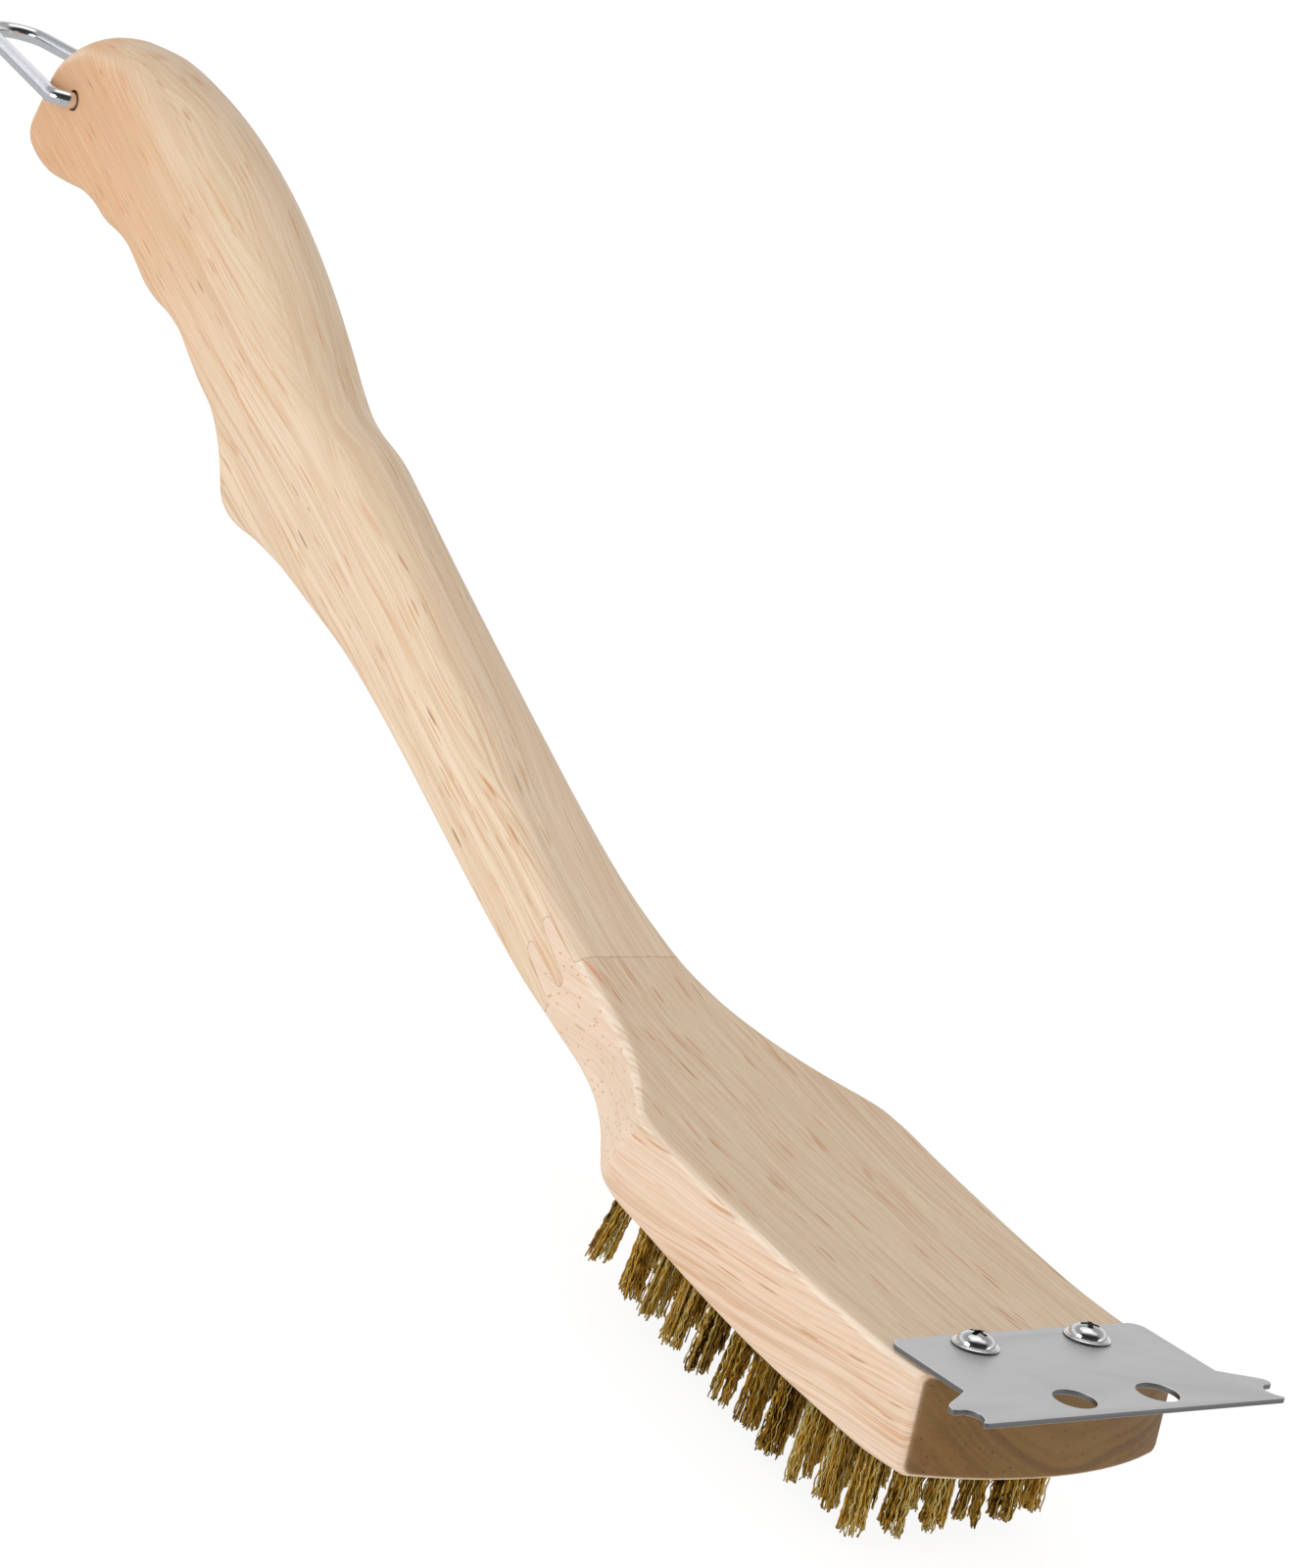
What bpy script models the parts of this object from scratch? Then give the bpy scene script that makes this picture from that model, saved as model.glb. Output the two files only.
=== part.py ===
"""Barbecue grill brush: wooden handle, finger-jointed bristle head, brass-wire tufts, a steel
scraper plate held by two screws, and a wire hanging ring that hinges in the butt.

Dimensions are millimetres in the board frame: x = 0 at the back edge of the scraper plate with +x
to the front of the head, z = 0 at the head's top face under the plate, y = 0 on the plane of
symmetry.  The handle rises towards -x.  All parts hang from one empty that tilts the board frame
so that the bristle tips are level and puts the middle of the scraper's front edge at the world
origin: +X out past the scraper, +Z away from the bristles.
"""

import bpy
import bmesh
import math
from mathutils import Matrix, Vector

MM = 0.001                     # metres in a millimetre
GAP = 0.3                      # clearance between neighbouring pieces
TIP_LINE_TILT = 9.65           # slope of the bristle tip line in the board frame, degrees
SHARP_ANGLE = 40.0             # edges that turn more than this are shaded sharp, degrees

# ---------------------------------------------------------------- finishes
HEAD_WOOD = dict(colour=(0.80, 0.58, 0.41), roughness=0.45, metallic=0.0)
HANDLE_WOOD = dict(colour=(0.80, 0.62, 0.42), roughness=0.4, metallic=0.0)
STEEL = dict(colour=(0.62, 0.62, 0.62), roughness=0.35, metallic=1.0)
CHROME = dict(colour=(0.83, 0.84, 0.85), roughness=0.12, metallic=1.0)
BRASS = dict(colour=(0.42, 0.31, 0.09), roughness=0.45, metallic=1.0)

# ---------------------------------------------------------------- wood
# The wood is lofted along a centre line; s is the distance along it from x = 0 to the butt.
NOSE_S = -26.0                 # front of the head blank, before its nose is cut to shape
HEAD_BACK_S = 168.0            # back of the head blank, before the joint is cut
HANDLE_FRONT_S = 126.0         # front of the handle blank, before the joint is cut
BUTT_S = 441.5                 # butt end of the handle
HEAD_EDGE_STEPS = 3            # segments in each rounded edge
HANDLE_EDGE_STEPS = 4
# Spacing of the cross-sections: (used up to this s, step)
STATION_STEPS = ((84, 11.0), (104, 2.5), (150, 5.0), (290, 11.0), (345, 3.5), (BUTT_S, 5.5))

SPINE_START = (0.0, -10.0)     # x, z of the centre line at s = 0
SPINE_STEP = 0.5               # step at which the centre line is traced
HANDLE_SLOPE = 28.0            # slope of the straight handle, degrees
# Straight-line tables, constant past their ends: (s, degrees)
SPINE_SLOPE = ((0, 2.0), (80, 12.5), (110, 15.0), (175, HANDLE_SLOPE))
# Lean of the cross-sections: upright in the head, square to the centre line in the handle.
SECTION_LEAN = ((10, 0.0), (40, 9.0), (60, 20.0), (85, HANDLE_SLOPE))
# Radius of the upper and lower long edges: (s, radius)
EDGE_TOP = ((-26, 2.0), (90, 2.2), (120, 2.6), (150, 3.6), (220, 7.0), (280, 10.0), (330, 11.5))
EDGE_LOW = ((120, 2.2), (150, 2.6), (220, 3.5), (280, 4.0), (330, 4.5))
EDGE_LIMIT = 0.48              # largest edge radius, as a share of the section's smaller side

# Smooth-curve tables: (s, distance from the centre line).  Points past the butt steer the curve.
RISE = (                       # up to the top face
    (-26, 9.85), (0, 9.85), (12, 10.3), (30, 11.0), (60, 11.8), (88, 12.0), (110, 11.6),
    (130, 10.6), (152, 10.6), (180, 11.9), (210, 14.3), (250, 17.4), (276, 19.2), (289, 19.4),
    (298, 18.0), (304, 17.7), (311, 18.9), (324, 22.4), (342, 26.5), (360, 28.9), (378, 29.5),
    (396, 28.3), (412, 25.3), (428, 20.9), (441, 14.8), (453.5, 8.0))
DROP = (                       # down to the underside
    (-26, 8.9), (-12, 10.1), (0, 10.6), (12, 10.3), (30, 9.5), (50, 8.4), (70, 7.5), (86, 7.3),
    (95, 6.0), (104, 5.0), (114, 4.7), (124, 5.4), (136, 7.0), (150, 8.3), (164, 9.2),
    (180, 10.3), (200, 11.2), (222, 11.8), (242, 12.6), (256, 13.7), (276, 17.0), (292, 19.9),
    (304, 23.4), (310, 25.7), (315, 26.8), (319, 26.2), (324, 22.2), (330, 18.2), (337, 15.2),
    (346, 14.2), (354, 13.0), (362, 11.7), (369, 12.2), (376, 13.7), (382, 14.1), (388, 13.5),
    (394, 12.9), (400, 13.7), (407, 15.6), (414, 16.1), (421, 17.7), (430, 21.9), (438, 25.2),
    (446, 26.0), (453.5, 24.7))
HALF_WIDTH = (                 # out to each side
    (-26, 31.7), (-12, 31.6), (0, 31.1), (14, 30.6), (40, 31.1), (68, 31.6), (84, 31.5),
    (88, 30.9), (92, 29.2), (96, 27.0), (101, 24.3), (106, 22.0), (112, 19.7), (120, 17.3),
    (130, 15.2), (140, 13.7), (150, 13.0), (480, 13.0))

# Nose of the head seen from above: a shallow bow with small corner roundings
NOSE_X = 19.2
NOSE_RADIUS = 69.0
NOSE_HALF = 31.7
NOSE_CORNER = 1.2
NOSE_STEPS = 12

# Finger joint between head and handle: fingers run along the handle, stacked in height
JOINT_AT = (-133.5, 26.4)      # x, z where the straight seam crosses the top face
JOINT_LENGTH = 15.0
JOINT_PITCH = 7.4              # between neighbouring fingers of the same piece
JOINT_FIRST = -4.8             # height of the head's top finger, from JOINT_AT
JOINT_FINGERS = 5              # handle and head fingers by turns, the handle's outermost
JOINT_TIP_RADIUS = 1.35
JOINT_TIP_ANGLES = (80, 55, 28, 0, -28, -55, -80)
JOINT_CUT_TOP = 40.0           # reach of the joint cutters above and below JOINT_AT
JOINT_CUT_BOTTOM = -45.0
JOINT_CUT_HALF = 45.0          # half width of the joint cutters

# ---------------------------------------------------------------- metal
PLATE_T = 1.1
PLATE_Z = 0.15                 # height of the plate's underside
PLATE_HALF = 30.4
PLATE_CORNER = 3.0
PLATE_CORNER_STEPS = 4
PLATE_FRONT = 35.4
PLATE_FRONT_HALF = 36.2
# Notched ear on the +y side, from back to front: (x, y)
EAR = ((22.3, PLATE_HALF), (24.0, 33.0), (25.9, 36.2), (27.1, 37.9), (28.3, 38.5), (29.2, 38.2),
       (29.5, 37.3), (29.5, 36.2), (30.2, 35.2), (31.4, 34.5), (32.7, 34.6), (34.0, 35.2))
# Plate holes, mirrored in y: (x, y)
SCREW_AT = (4.94, 13.6)
SCREW_HOLE_R = 2.15
LARGE_HOLE_AT = (28.9, 10.0)
LARGE_HOLE_R = 4.15

# Screws: flanged pan head with a cross recess
SCREW_SEAT = PLATE_Z + PLATE_T + 0.1
FLANGE_R = 4.55
FLANGE_T = 0.5
DOME_R = 3.65
DOME_H = 2.6
DOME_ANGLES = (25, 45, 62, 78)  # from the pole, degrees
SHANK_R = 1.75
SHANK_L = 13.5
SHANK_POINT = 2.0              # length of the pointed end
RECESS_W = 0.95
RECESS_L = 4.0
RECESS_DEPTH = 1.3
RECESS_TURN = 20.0             # degrees

# Hanging ring
RING_HINGE = (-402.0, 151.8)   # x, z
RING_HOLE_R = 2.6
WIRE_R = 2.0
WIRE_SIDES = 10
RING_REST = 7.0                # rest direction above -x, degrees
RING_END = 5.5                 # the wire ends inside the hole, this far from the middle
RING_SHOULDER = 17.2           # side of the bend between pivot line and leg
RING_BEND_R = 4.0
RING_PIVOT_SETBACK = 2.2       # last point on the pivot line, short of the bend
RING_BEND_STEPS = 5
RING_LEG_STEPS = 4
RING_APEX_R = 8.2
RING_APEX_STEPS = 5            # in half of the apex arc
RING_APEX_OUT = 64.0           # apex of the centre line, out from the hinge

# Bristle tufts: a grid on the underside, each tuft standing square to the wood
TUFT_PITCH = 8.3               # between rows
TUFT_FRONT_X = -6.5            # front row, in the outer columns
TUFT_COLUMNS = "abcdef"        # from -y to +y
TUFT_COLUMN_PITCH = 8.7
TUFT_ROWS = 11
TUFT_ROW_BOW = 2.5             # how far the rows bow forward on the centre line
TUFT_OPEN_ROWS = (3, 6, 9)     # rows that hold only the two outer tufts
TUFT_LEVEL = ("c", 5)          # column and row of a tuft set exactly upright in the world
TUFT_HOLE_R = 2.85
TUFT_HOLE_DEPTH = 10.0
TUFT_HOLE_OVERCUT = 6.0        # cutter's reach below the wood
TUFT_ROOT_R = 2.5
TUFT_TIP_R = 3.4
TUFT_LENGTH = 20.3             # bristle length below the wood
TUFT_SIDES = 10


# ---------------------------------------------------------------- curves
def straight(table, s):
    """Piecewise straight value of a (position, value) table, constant past its ends."""
    if s <= table[0][0]:
        return table[0][1]
    for (start, value), (end, next_value) in zip(table, table[1:]):
        if s <= end:
            return value + (next_value - value) * (s - start) / (end - start)
    return table[-1][1]


def smooth(table, s):
    """Smooth value of a (position, value) table: cubic Hermite with weighted mean slopes."""
    if s <= table[0][0]:
        return table[0][1]
    if s >= table[-1][0]:
        return table[-1][1]
    last = len(table) - 1

    def span(k):
        return table[k + 1][0] - table[k][0]

    def chord(k):
        return (table[k + 1][1] - table[k][1]) / span(k)

    def slope(k):
        if k == 0:
            return chord(0)
        if k == last:
            return chord(last - 1)
        before, after = span(k - 1), span(k)
        return (chord(k - 1) * after + chord(k) * before) / (before + after)

    i = 0
    while table[i + 1][0] < s:
        i += 1
    h = span(i)
    t = (s - table[i][0]) / h
    return (table[i][1] * (2 * t ** 3 - 3 * t ** 2 + 1)
            + h * slope(i) * (t ** 3 - 2 * t ** 2 + t)
            + table[i + 1][1] * (-2 * t ** 3 + 3 * t ** 2)
            + h * slope(i + 1) * (t ** 3 - t ** 2))


# ---------------------------------------------------------------- shapes: (vertices, faces)
def loft(rings):
    """Closed skin over rings of equal length, with end caps."""
    n = len(rings[0])
    verts = [point for ring in rings for point in ring]
    faces = []
    for start in range(0, (len(rings) - 1) * n, n):
        for k in range(n):
            a, b = start + k, start + (k + 1) % n
            faces.append((a, b, b + n, a + n))
    faces.append(tuple(range(n))[::-1])
    faces.append(tuple(range(len(verts) - n, len(verts))))
    return verts, faces


def prism(outline, low, high, axis="z"):
    """Closed prism over a plane outline; axis z extrudes (x, y), axis y extrudes (x, z)."""
    if axis == "z":
        verts = [(x, y, level) for level in (low, high) for x, y in outline]
    else:
        verts = [(x, level, z) for level in (low, high) for x, z in outline]
    n = len(outline)
    faces = [(k, (k + 1) % n, (k + 1) % n + n, k + n) for k in range(n)]
    faces.append(tuple(range(n))[::-1])
    faces.append(tuple(range(n, 2 * n)))
    return verts, faces


def circle_around(centre, first, second, radius, sides):
    """Circle of points in the plane of two unit vectors."""
    angles = [2 * math.pi * k / sides for k in range(sides)]
    return [centre + first * radius * math.cos(a) + second * radius * math.sin(a)
            for a in angles]


def rod(base, direction, profile, sides):
    """Round rod through base; the profile lists (distance along direction, radius)."""
    axis = Vector(direction).normalized()
    side = axis.cross(Vector((0, 1, 0)))
    if side.length < 0.2:                     # the rod itself runs along y
        side = axis.cross(Vector((1, 0, 0)))
    side.normalize()
    other = axis.cross(side)
    return loft([circle_around(Vector(base) + axis * distance, side, other, radius, sides)
                 for distance, radius in profile])


def revolve(profile, sides):
    """Solid turned about z; the (radius, z) profile runs from the top pole to the bottom pole."""
    angles = [2 * math.pi * k / sides for k in range(sides)]
    verts = [(0.0, 0.0, profile[0][1])]
    for r, z in profile[1:-1]:
        verts += [(r * math.cos(a), r * math.sin(a), z) for a in angles]
    verts.append((0.0, 0.0, profile[-1][1]))
    pairs = [(k, (k + 1) % sides) for k in range(sides)]
    faces = [(0, 1 + k, 1 + after) for k, after in pairs]
    last = 1 + (len(profile) - 3) * sides     # first vertex of the lowest ring
    for start in range(1, last, sides):
        faces += [(start + k, start + sides + k, start + sides + after, start + after)
                  for k, after in pairs]
    faces += [(last + k, len(verts) - 1, last + after) for k, after in pairs]
    return verts, faces


def combined(shapes):
    """Several separate shapes as one."""
    verts, faces = [], []
    for part_verts, part_faces in shapes:
        offset = len(verts)
        verts += list(part_verts)
        faces += [tuple(i + offset for i in face) for face in part_faces]
    return verts, faces


# ---------------------------------------------------------------- objects
def clear_scene():
    for ob in list(bpy.data.objects):
        bpy.data.objects.remove(ob, do_unlink=True)


def material(name, colour, roughness, metallic):
    mat = bpy.data.materials.new(name)
    mat.use_nodes = True
    bsdf = mat.node_tree.nodes["Principled BSDF"]
    bsdf.inputs["Base Color"].default_value = (*colour, 1.0)
    bsdf.inputs["Roughness"].default_value = roughness
    bsdf.inputs["Metallic"].default_value = metallic
    mat.diffuse_color = (*colour, 1.0)
    return mat


def mesh_object(name, shape, parent, finish=None, origin=(0, 0, 0)):
    """Object from a shape in the board frame; its material, if any, takes its name."""
    verts, faces = shape
    origin = Vector(origin)
    mesh = bpy.data.meshes.new(name)
    mesh.from_pydata([(Vector(point) - origin) * MM for point in verts], [], faces)
    bm = bmesh.new()
    bm.from_mesh(mesh)
    bmesh.ops.recalc_face_normals(bm, faces=bm.faces)
    bm.to_mesh(mesh)
    bm.free()
    mesh.shade_smooth()
    mesh.set_sharp_from_angle(angle=math.radians(SHARP_ANGLE))
    ob = bpy.data.objects.new(name, mesh)
    bpy.context.scene.collection.objects.link(ob)
    ob.parent = parent
    ob.location = origin * MM
    if finish:
        mesh.materials.append(material(name, **finish))
    return ob


def cut(ob, cutter_name, shape, operation="DIFFERENCE", origin=(0, 0, 0)):
    """Boolean on ob with a hidden helper object made from the shape."""
    cutter = mesh_object(cutter_name, shape, ob.parent, origin=origin)
    cutter.hide_render = True
    cutter.display_type = "WIRE"
    cutter.hide_set(True)
    mod = ob.modifiers.new("cut_" + cutter_name, "BOOLEAN")
    mod.operation = operation
    mod.solver = "EXACT"
    mod.object = cutter


# ---------------------------------------------------------------- wood
def spine(s):
    """Point (x, z) of the wood's centre line at s."""
    x, z = SPINE_START
    if s <= 0:
        return x - s, z
    done = 0.0
    while done < s - 1e-9:
        step = min(SPINE_STEP, s - done)
        slope = math.radians(straight(SPINE_SLOPE, done + step / 2))
        x -= math.cos(slope) * step
        z += math.sin(slope) * step
        done += step
    return x, z


def wood_ring(s, edge_steps):
    """Cross-section of the wood: a rounded rectangle in the leaning plane at s."""
    centre_x, centre_z = spine(s)
    lean = math.radians(straight(SECTION_LEAN, s))
    up, down, width = smooth(RISE, s), smooth(DROP, s), smooth(HALF_WIDTH, s)
    limit = EDGE_LIMIT * min(up + down, 2 * width)
    top_r = min(straight(EDGE_TOP, s), limit)
    low_r = min(straight(EDGE_LOW, s), limit)
    quarter = [math.pi / 2 * k / edge_steps for k in range(edge_steps + 1)]

    half = [(0.0, -down)]                     # (y, height) up the +y side
    half += [(width - low_r + low_r * math.cos(a - math.pi / 2),
              -down + low_r + low_r * math.sin(a - math.pi / 2)) for a in quarter]
    half.append((width, 0.5 * (up - top_r - down + low_r)))
    half += [(width - top_r + top_r * math.cos(a), up - top_r + top_r * math.sin(a))
             for a in quarter]
    half.append((0.0, up))
    ring = half + [(-y, height) for y, height in reversed(half[1:-1])]
    return [Vector((centre_x + height * math.sin(lean), y, centre_z + height * math.cos(lean)))
            for y, height in ring]


def wood_blank(start, end, edge_steps):
    """Loft of the wood from start to end."""
    rings = []
    s = start
    while s < end:
        rings.append(wood_ring(s, edge_steps))
        s += next(step for limit, step in STATION_STEPS if s < limit)
    rings.append(wood_ring(end, edge_steps))
    return loft(rings)


def joint_cutter(side):
    """Block beyond the finger line: behind it for the head (side = +1), ahead of it for the
    handle (side = -1).  Each line stands half the clearance off the middle of the joint."""
    slope = math.radians(HANDLE_SLOPE)
    back = Vector((-math.cos(slope), 0, math.sin(slope)))
    up = Vector((math.sin(slope), 0, math.cos(slope)))
    gap = side * GAP / 2
    line = [(-gap, JOINT_CUT_TOP)]            # (distance back, height) from top to bottom
    for i in range(JOINT_FINGERS):
        centre = JOINT_FIRST + JOINT_PITCH / 2 * (1 - i)
        angles = JOINT_TIP_ANGLES
        if i % 2 == 1:                        # head finger pointing back
            base, reach, r = JOINT_LENGTH - JOINT_TIP_RADIUS, 1, JOINT_TIP_RADIUS - gap
        else:                                 # handle finger pointing forward
            base, reach, r = JOINT_TIP_RADIUS, -1, JOINT_TIP_RADIUS + gap
            if i == 0:                        # the outermost fingers have only their inner half
                angles = angles[3:]
            elif i == JOINT_FINGERS - 1:
                angles = angles[:4]
        line += [(base + reach * r * math.cos(math.radians(a)),
                  centre + r * math.sin(math.radians(a))) for a in angles]
    line.append((-gap, JOINT_CUT_BOTTOM))
    far = 120.0 if side > 0 else -160.0
    line += [(far, JOINT_CUT_BOTTOM), (far, JOINT_CUT_TOP)]
    outline = [(JOINT_AT[0] + distance * back.x + height * up.x,
                JOINT_AT[1] + distance * back.z + height * up.z) for distance, height in line]
    return prism(outline, -JOINT_CUT_HALF, JOINT_CUT_HALF, "y")


def nose_outline():
    """Plan outline kept of the head blank: bowed at the front, wider than the wood behind."""
    def bow(y):
        return NOSE_X - (NOSE_RADIUS - math.sqrt(NOSE_RADIUS ** 2 - y * y))

    half = NOSE_HALF
    flank = [(-250.0, -half - 8), (-20.0, -half - 8), (8.0, -half - 1.2),
             (bow(half) - 1.2, -half), (bow(half) - 0.25, -half + 0.5 * NOSE_CORNER)]
    front = []
    for k in range(NOSE_STEPS + 1):
        y = -half + NOSE_CORNER + (2 * half - 2 * NOSE_CORNER) * k / NOSE_STEPS
        front.append((bow(y), y))
    return flank + front + [(x, -y) for x, y in reversed(flank)]


def underside_point(s):
    """Point (x, z) on the underside at s."""
    x, z = spine(s)
    lean = math.radians(straight(SECTION_LEAN, s))
    down = smooth(DROP, s)
    return x - down * math.sin(lean), z - down * math.cos(lean)


def underside(x):
    """Height and slope of the head's underside at x, found by halving the range of s."""
    low, high = NOSE_S, 150.0
    for _ in range(50):
        middle = (low + high) / 2
        if underside_point(middle)[0] > x:
            low = middle
        else:
            high = middle
    front_x, front_z = underside_point(low - 2.0)
    back_x, back_z = underside_point(low + 2.0)
    return underside_point(low)[1], (front_z - back_z) / (front_x - back_x)


def tuft_places():
    """Name, root point on the underside and outward direction of each tuft."""
    places = []
    outer_y = TUFT_COLUMN_PITCH * (len(TUFT_COLUMNS) - 1) / 2
    for i, column in enumerate(TUFT_COLUMNS):
        y = TUFT_COLUMN_PITCH * i - outer_y
        outer = i in (0, len(TUFT_COLUMNS) - 1)
        bow = TUFT_ROW_BOW * (1 - (y / outer_y) ** 2)
        for row in range(1, TUFT_ROWS + 1):
            if row in TUFT_OPEN_ROWS and not outer:
                continue
            x = TUFT_FRONT_X - TUFT_PITCH * (row - 1) + bow
            z, slope = underside(x)
            lean = -math.atan(slope)
            if (column, row) == TUFT_LEVEL:
                lean = math.radians(TIP_LINE_TILT)
            direction = Vector((-math.sin(lean), 0, -math.cos(lean)))
            places.append((f"bristle_tuft_{column}{row:02d}", Vector((x, y, z)), direction))
    return places


def build_head(frame, tufts):
    blank = wood_blank(NOSE_S, HEAD_BACK_S, HEAD_EDGE_STEPS)
    head = mesh_object("head_block", blank, frame, HEAD_WOOD)
    cut(head, "cutter_joint_head", joint_cutter(+1))
    cut(head, "cutter_nose", prism(nose_outline(), -60.0, 90.0), "INTERSECT")
    tuft_hole = ((-TUFT_HOLE_DEPTH, TUFT_HOLE_R), (TUFT_HOLE_OVERCUT, TUFT_HOLE_R))
    holes = [rod(root, direction, tuft_hole, TUFT_SIDES) for _, root, direction in tufts]
    screw_hole = ((-4.0, SHANK_R + GAP), (SHANK_L + 0.6, SHANK_R + GAP))
    for side in (-1, 1):
        holes.append(rod((SCREW_AT[0], side * SCREW_AT[1], 0.0), (0, 0, -1), screw_hole, 12))
    cut(head, "cutter_holes", combined(holes))


def build_handle(frame):
    blank = wood_blank(HANDLE_FRONT_S, BUTT_S, HANDLE_EDGE_STEPS)
    handle = mesh_object("handle", blank, frame, HANDLE_WOOD)
    cut(handle, "cutter_joint_handle", joint_cutter(-1))
    hinge_x, hinge_z = RING_HINGE
    ring_hole = ((-30.0, RING_HOLE_R), (30.0, RING_HOLE_R))
    cut(handle, "cutter_ring_hole", rod((hinge_x, 0.0, hinge_z), (0, 1, 0), ring_hole, 16))


# ---------------------------------------------------------------- metal
def plate_outline():
    """Square back with round corners, notched ears, straight front edge."""
    half = []
    for k in range(PLATE_CORNER_STEPS + 1):
        a = math.pi - math.pi / 2 * k / PLATE_CORNER_STEPS
        half.append((PLATE_CORNER + PLATE_CORNER * math.cos(a),
                     PLATE_HALF - PLATE_CORNER + PLATE_CORNER * math.sin(a)))
    half += EAR
    half += [(PLATE_FRONT - 0.4, PLATE_FRONT_HALF - 0.1), (PLATE_FRONT, PLATE_FRONT_HALF - 0.5)]
    return half + [(x, -y) for x, y in reversed(half)]


def plate_hole(x, y, radius, sides):
    """Upright cylinder through the plate."""
    angles = [2 * math.pi * k / sides for k in range(sides)]
    return prism([(x + radius * math.cos(a), y + radius * math.sin(a)) for a in angles],
                 -4.0, 6.0)


def build_plate(frame):
    plate = mesh_object("scraper_plate", prism(plate_outline(), PLATE_Z, PLATE_Z + PLATE_T),
                        frame, STEEL)
    holes = []
    for side in (-1, 1):
        holes.append(plate_hole(SCREW_AT[0], side * SCREW_AT[1], SCREW_HOLE_R, 14))
        holes.append(plate_hole(LARGE_HOLE_AT[0], side * LARGE_HOLE_AT[1], LARGE_HOLE_R, 24))
    cut(plate, "cutter_plate_holes", combined(holes))


def screw_profile():
    """Half section of a screw from top to point: (radius, z)."""
    profile = [(0.0, DOME_H)]
    for degrees in DOME_ANGLES:
        a = math.radians(degrees)
        profile.append((DOME_R * math.sin(a), FLANGE_T + (DOME_H - FLANGE_T) * math.cos(a)))
    profile += [(DOME_R, FLANGE_T), (FLANGE_R, FLANGE_T - 0.1), (FLANGE_R, 0.0), (SHANK_R, 0.0),
                (SHANK_R, -SHANK_L + SHANK_POINT), (0.0, -SHANK_L)]
    return [(r, z + SCREW_SEAT) for r, z in profile]


def recess_outline():
    """Plan of the cross recess, one arm after another."""
    width, length = RECESS_W / 2, RECESS_L / 2
    outline = []
    for arm in range(4):
        turn = math.radians(RECESS_TURN + 90.0 * arm)
        outline += [(x * math.cos(turn) - y * math.sin(turn),
                     x * math.sin(turn) + y * math.cos(turn))
                    for x, y in ((length, -width), (length, width), (width, width))]
    return outline


def build_screws(frame):
    verts, faces = revolve(screw_profile(), 16)
    top = SCREW_SEAT + DOME_H
    for name, side in (("screw_left", -1), ("screw_right", 1)):
        place = Vector((SCREW_AT[0], side * SCREW_AT[1], 0.0))
        placed = [Vector(point) + place for point in verts]
        screw = mesh_object(name, (placed, faces), frame, CHROME, place)
        outline = [(x + place.x, y + place.y) for x, y in recess_outline()]
        cut(screw, "cutter_recess_" + name, prism(outline, top - RECESS_DEPTH, top + 3.0),
            origin=place)


def ring_path():
    """Centre line of the hanging ring in its own plane: (out from the pivot, along the pivot)."""
    bend_side = RING_SHOULDER - RING_BEND_R
    apex_centre = RING_APEX_OUT - RING_APEX_R
    lean = math.atan2(RING_SHOULDER - RING_APEX_R, apex_centre - RING_BEND_R)
    leg_angle = math.pi / 2 - lean            # where both arcs meet the leg

    half = [(0.0, RING_END), (0.0, bend_side - RING_PIVOT_SETBACK)]
    for k in range(RING_BEND_STEPS + 1):
        a = math.pi + (leg_angle - math.pi) * k / RING_BEND_STEPS
        half.append((RING_BEND_R + RING_BEND_R * math.cos(a),
                     bend_side + RING_BEND_R * math.sin(a)))
    # the leg leans in towards the apex
    start_out, start_along = half[-1]
    end_out = apex_centre + RING_APEX_R * math.sin(lean)
    end_along = RING_APEX_R * math.cos(lean)
    for k in range(1, RING_LEG_STEPS):
        half.append((start_out + (end_out - start_out) * k / RING_LEG_STEPS,
                     start_along + (end_along - start_along) * k / RING_LEG_STEPS))
    for k in range(RING_APEX_STEPS):
        a = leg_angle - leg_angle * k / RING_APEX_STEPS
        half.append((apex_centre + RING_APEX_R * math.cos(a), RING_APEX_R * math.sin(a)))
    return half + [(RING_APEX_OUT, 0.0)] + [(out, -along) for out, along in reversed(half)]


def build_ring(frame):
    rest = math.radians(RING_REST)
    outward = Vector((-math.cos(rest), 0, math.sin(rest)))
    normal = Vector((math.sin(rest), 0, math.cos(rest)))
    pivot = Vector((0, 1, 0))
    hinge = Vector((RING_HINGE[0], 0.0, RING_HINGE[1]))
    points = [hinge + outward * out + pivot * along for out, along in ring_path()]
    chords = [(b - a).normalized() for a, b in zip(points, points[1:])]
    rings = []
    for point, before, after in zip(points, chords[:1] + chords, chords + chords[-1:]):
        tangent = (before + after).normalized()
        flat = tangent.cross(normal).normalized()
        rings.append(circle_around(point, flat, normal, WIRE_R, WIRE_SIDES))
    mesh_object("hanging_ring", loft(rings), frame, CHROME, hinge)


def build_tufts(frame, tufts):
    profile = ((-TUFT_HOLE_DEPTH + GAP, TUFT_ROOT_R), (0.5, TUFT_ROOT_R),
               (TUFT_LENGTH * 0.55, 0.5 * (TUFT_ROOT_R + TUFT_TIP_R)), (TUFT_LENGTH, TUFT_TIP_R))
    for name, root, direction in tufts:
        mesh_object(name, rod(root, direction, profile, TUFT_SIDES), frame, BRASS, root)


# ---------------------------------------------------------------- assembly
def build_frame():
    """Empty that levels the bristle tips and puts the scraper's front edge at the origin."""
    frame = bpy.data.objects.new("brush_frame", None)
    bpy.context.scene.collection.objects.link(frame)
    tilt = math.radians(-TIP_LINE_TILT)
    front_edge = Vector((PLATE_FRONT, 0.0, PLATE_Z + PLATE_T / 2))
    frame.rotation_euler = (0.0, tilt, 0.0)
    frame.location = -(Matrix.Rotation(tilt, 3, "Y") @ front_edge) * MM
    return frame


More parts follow.
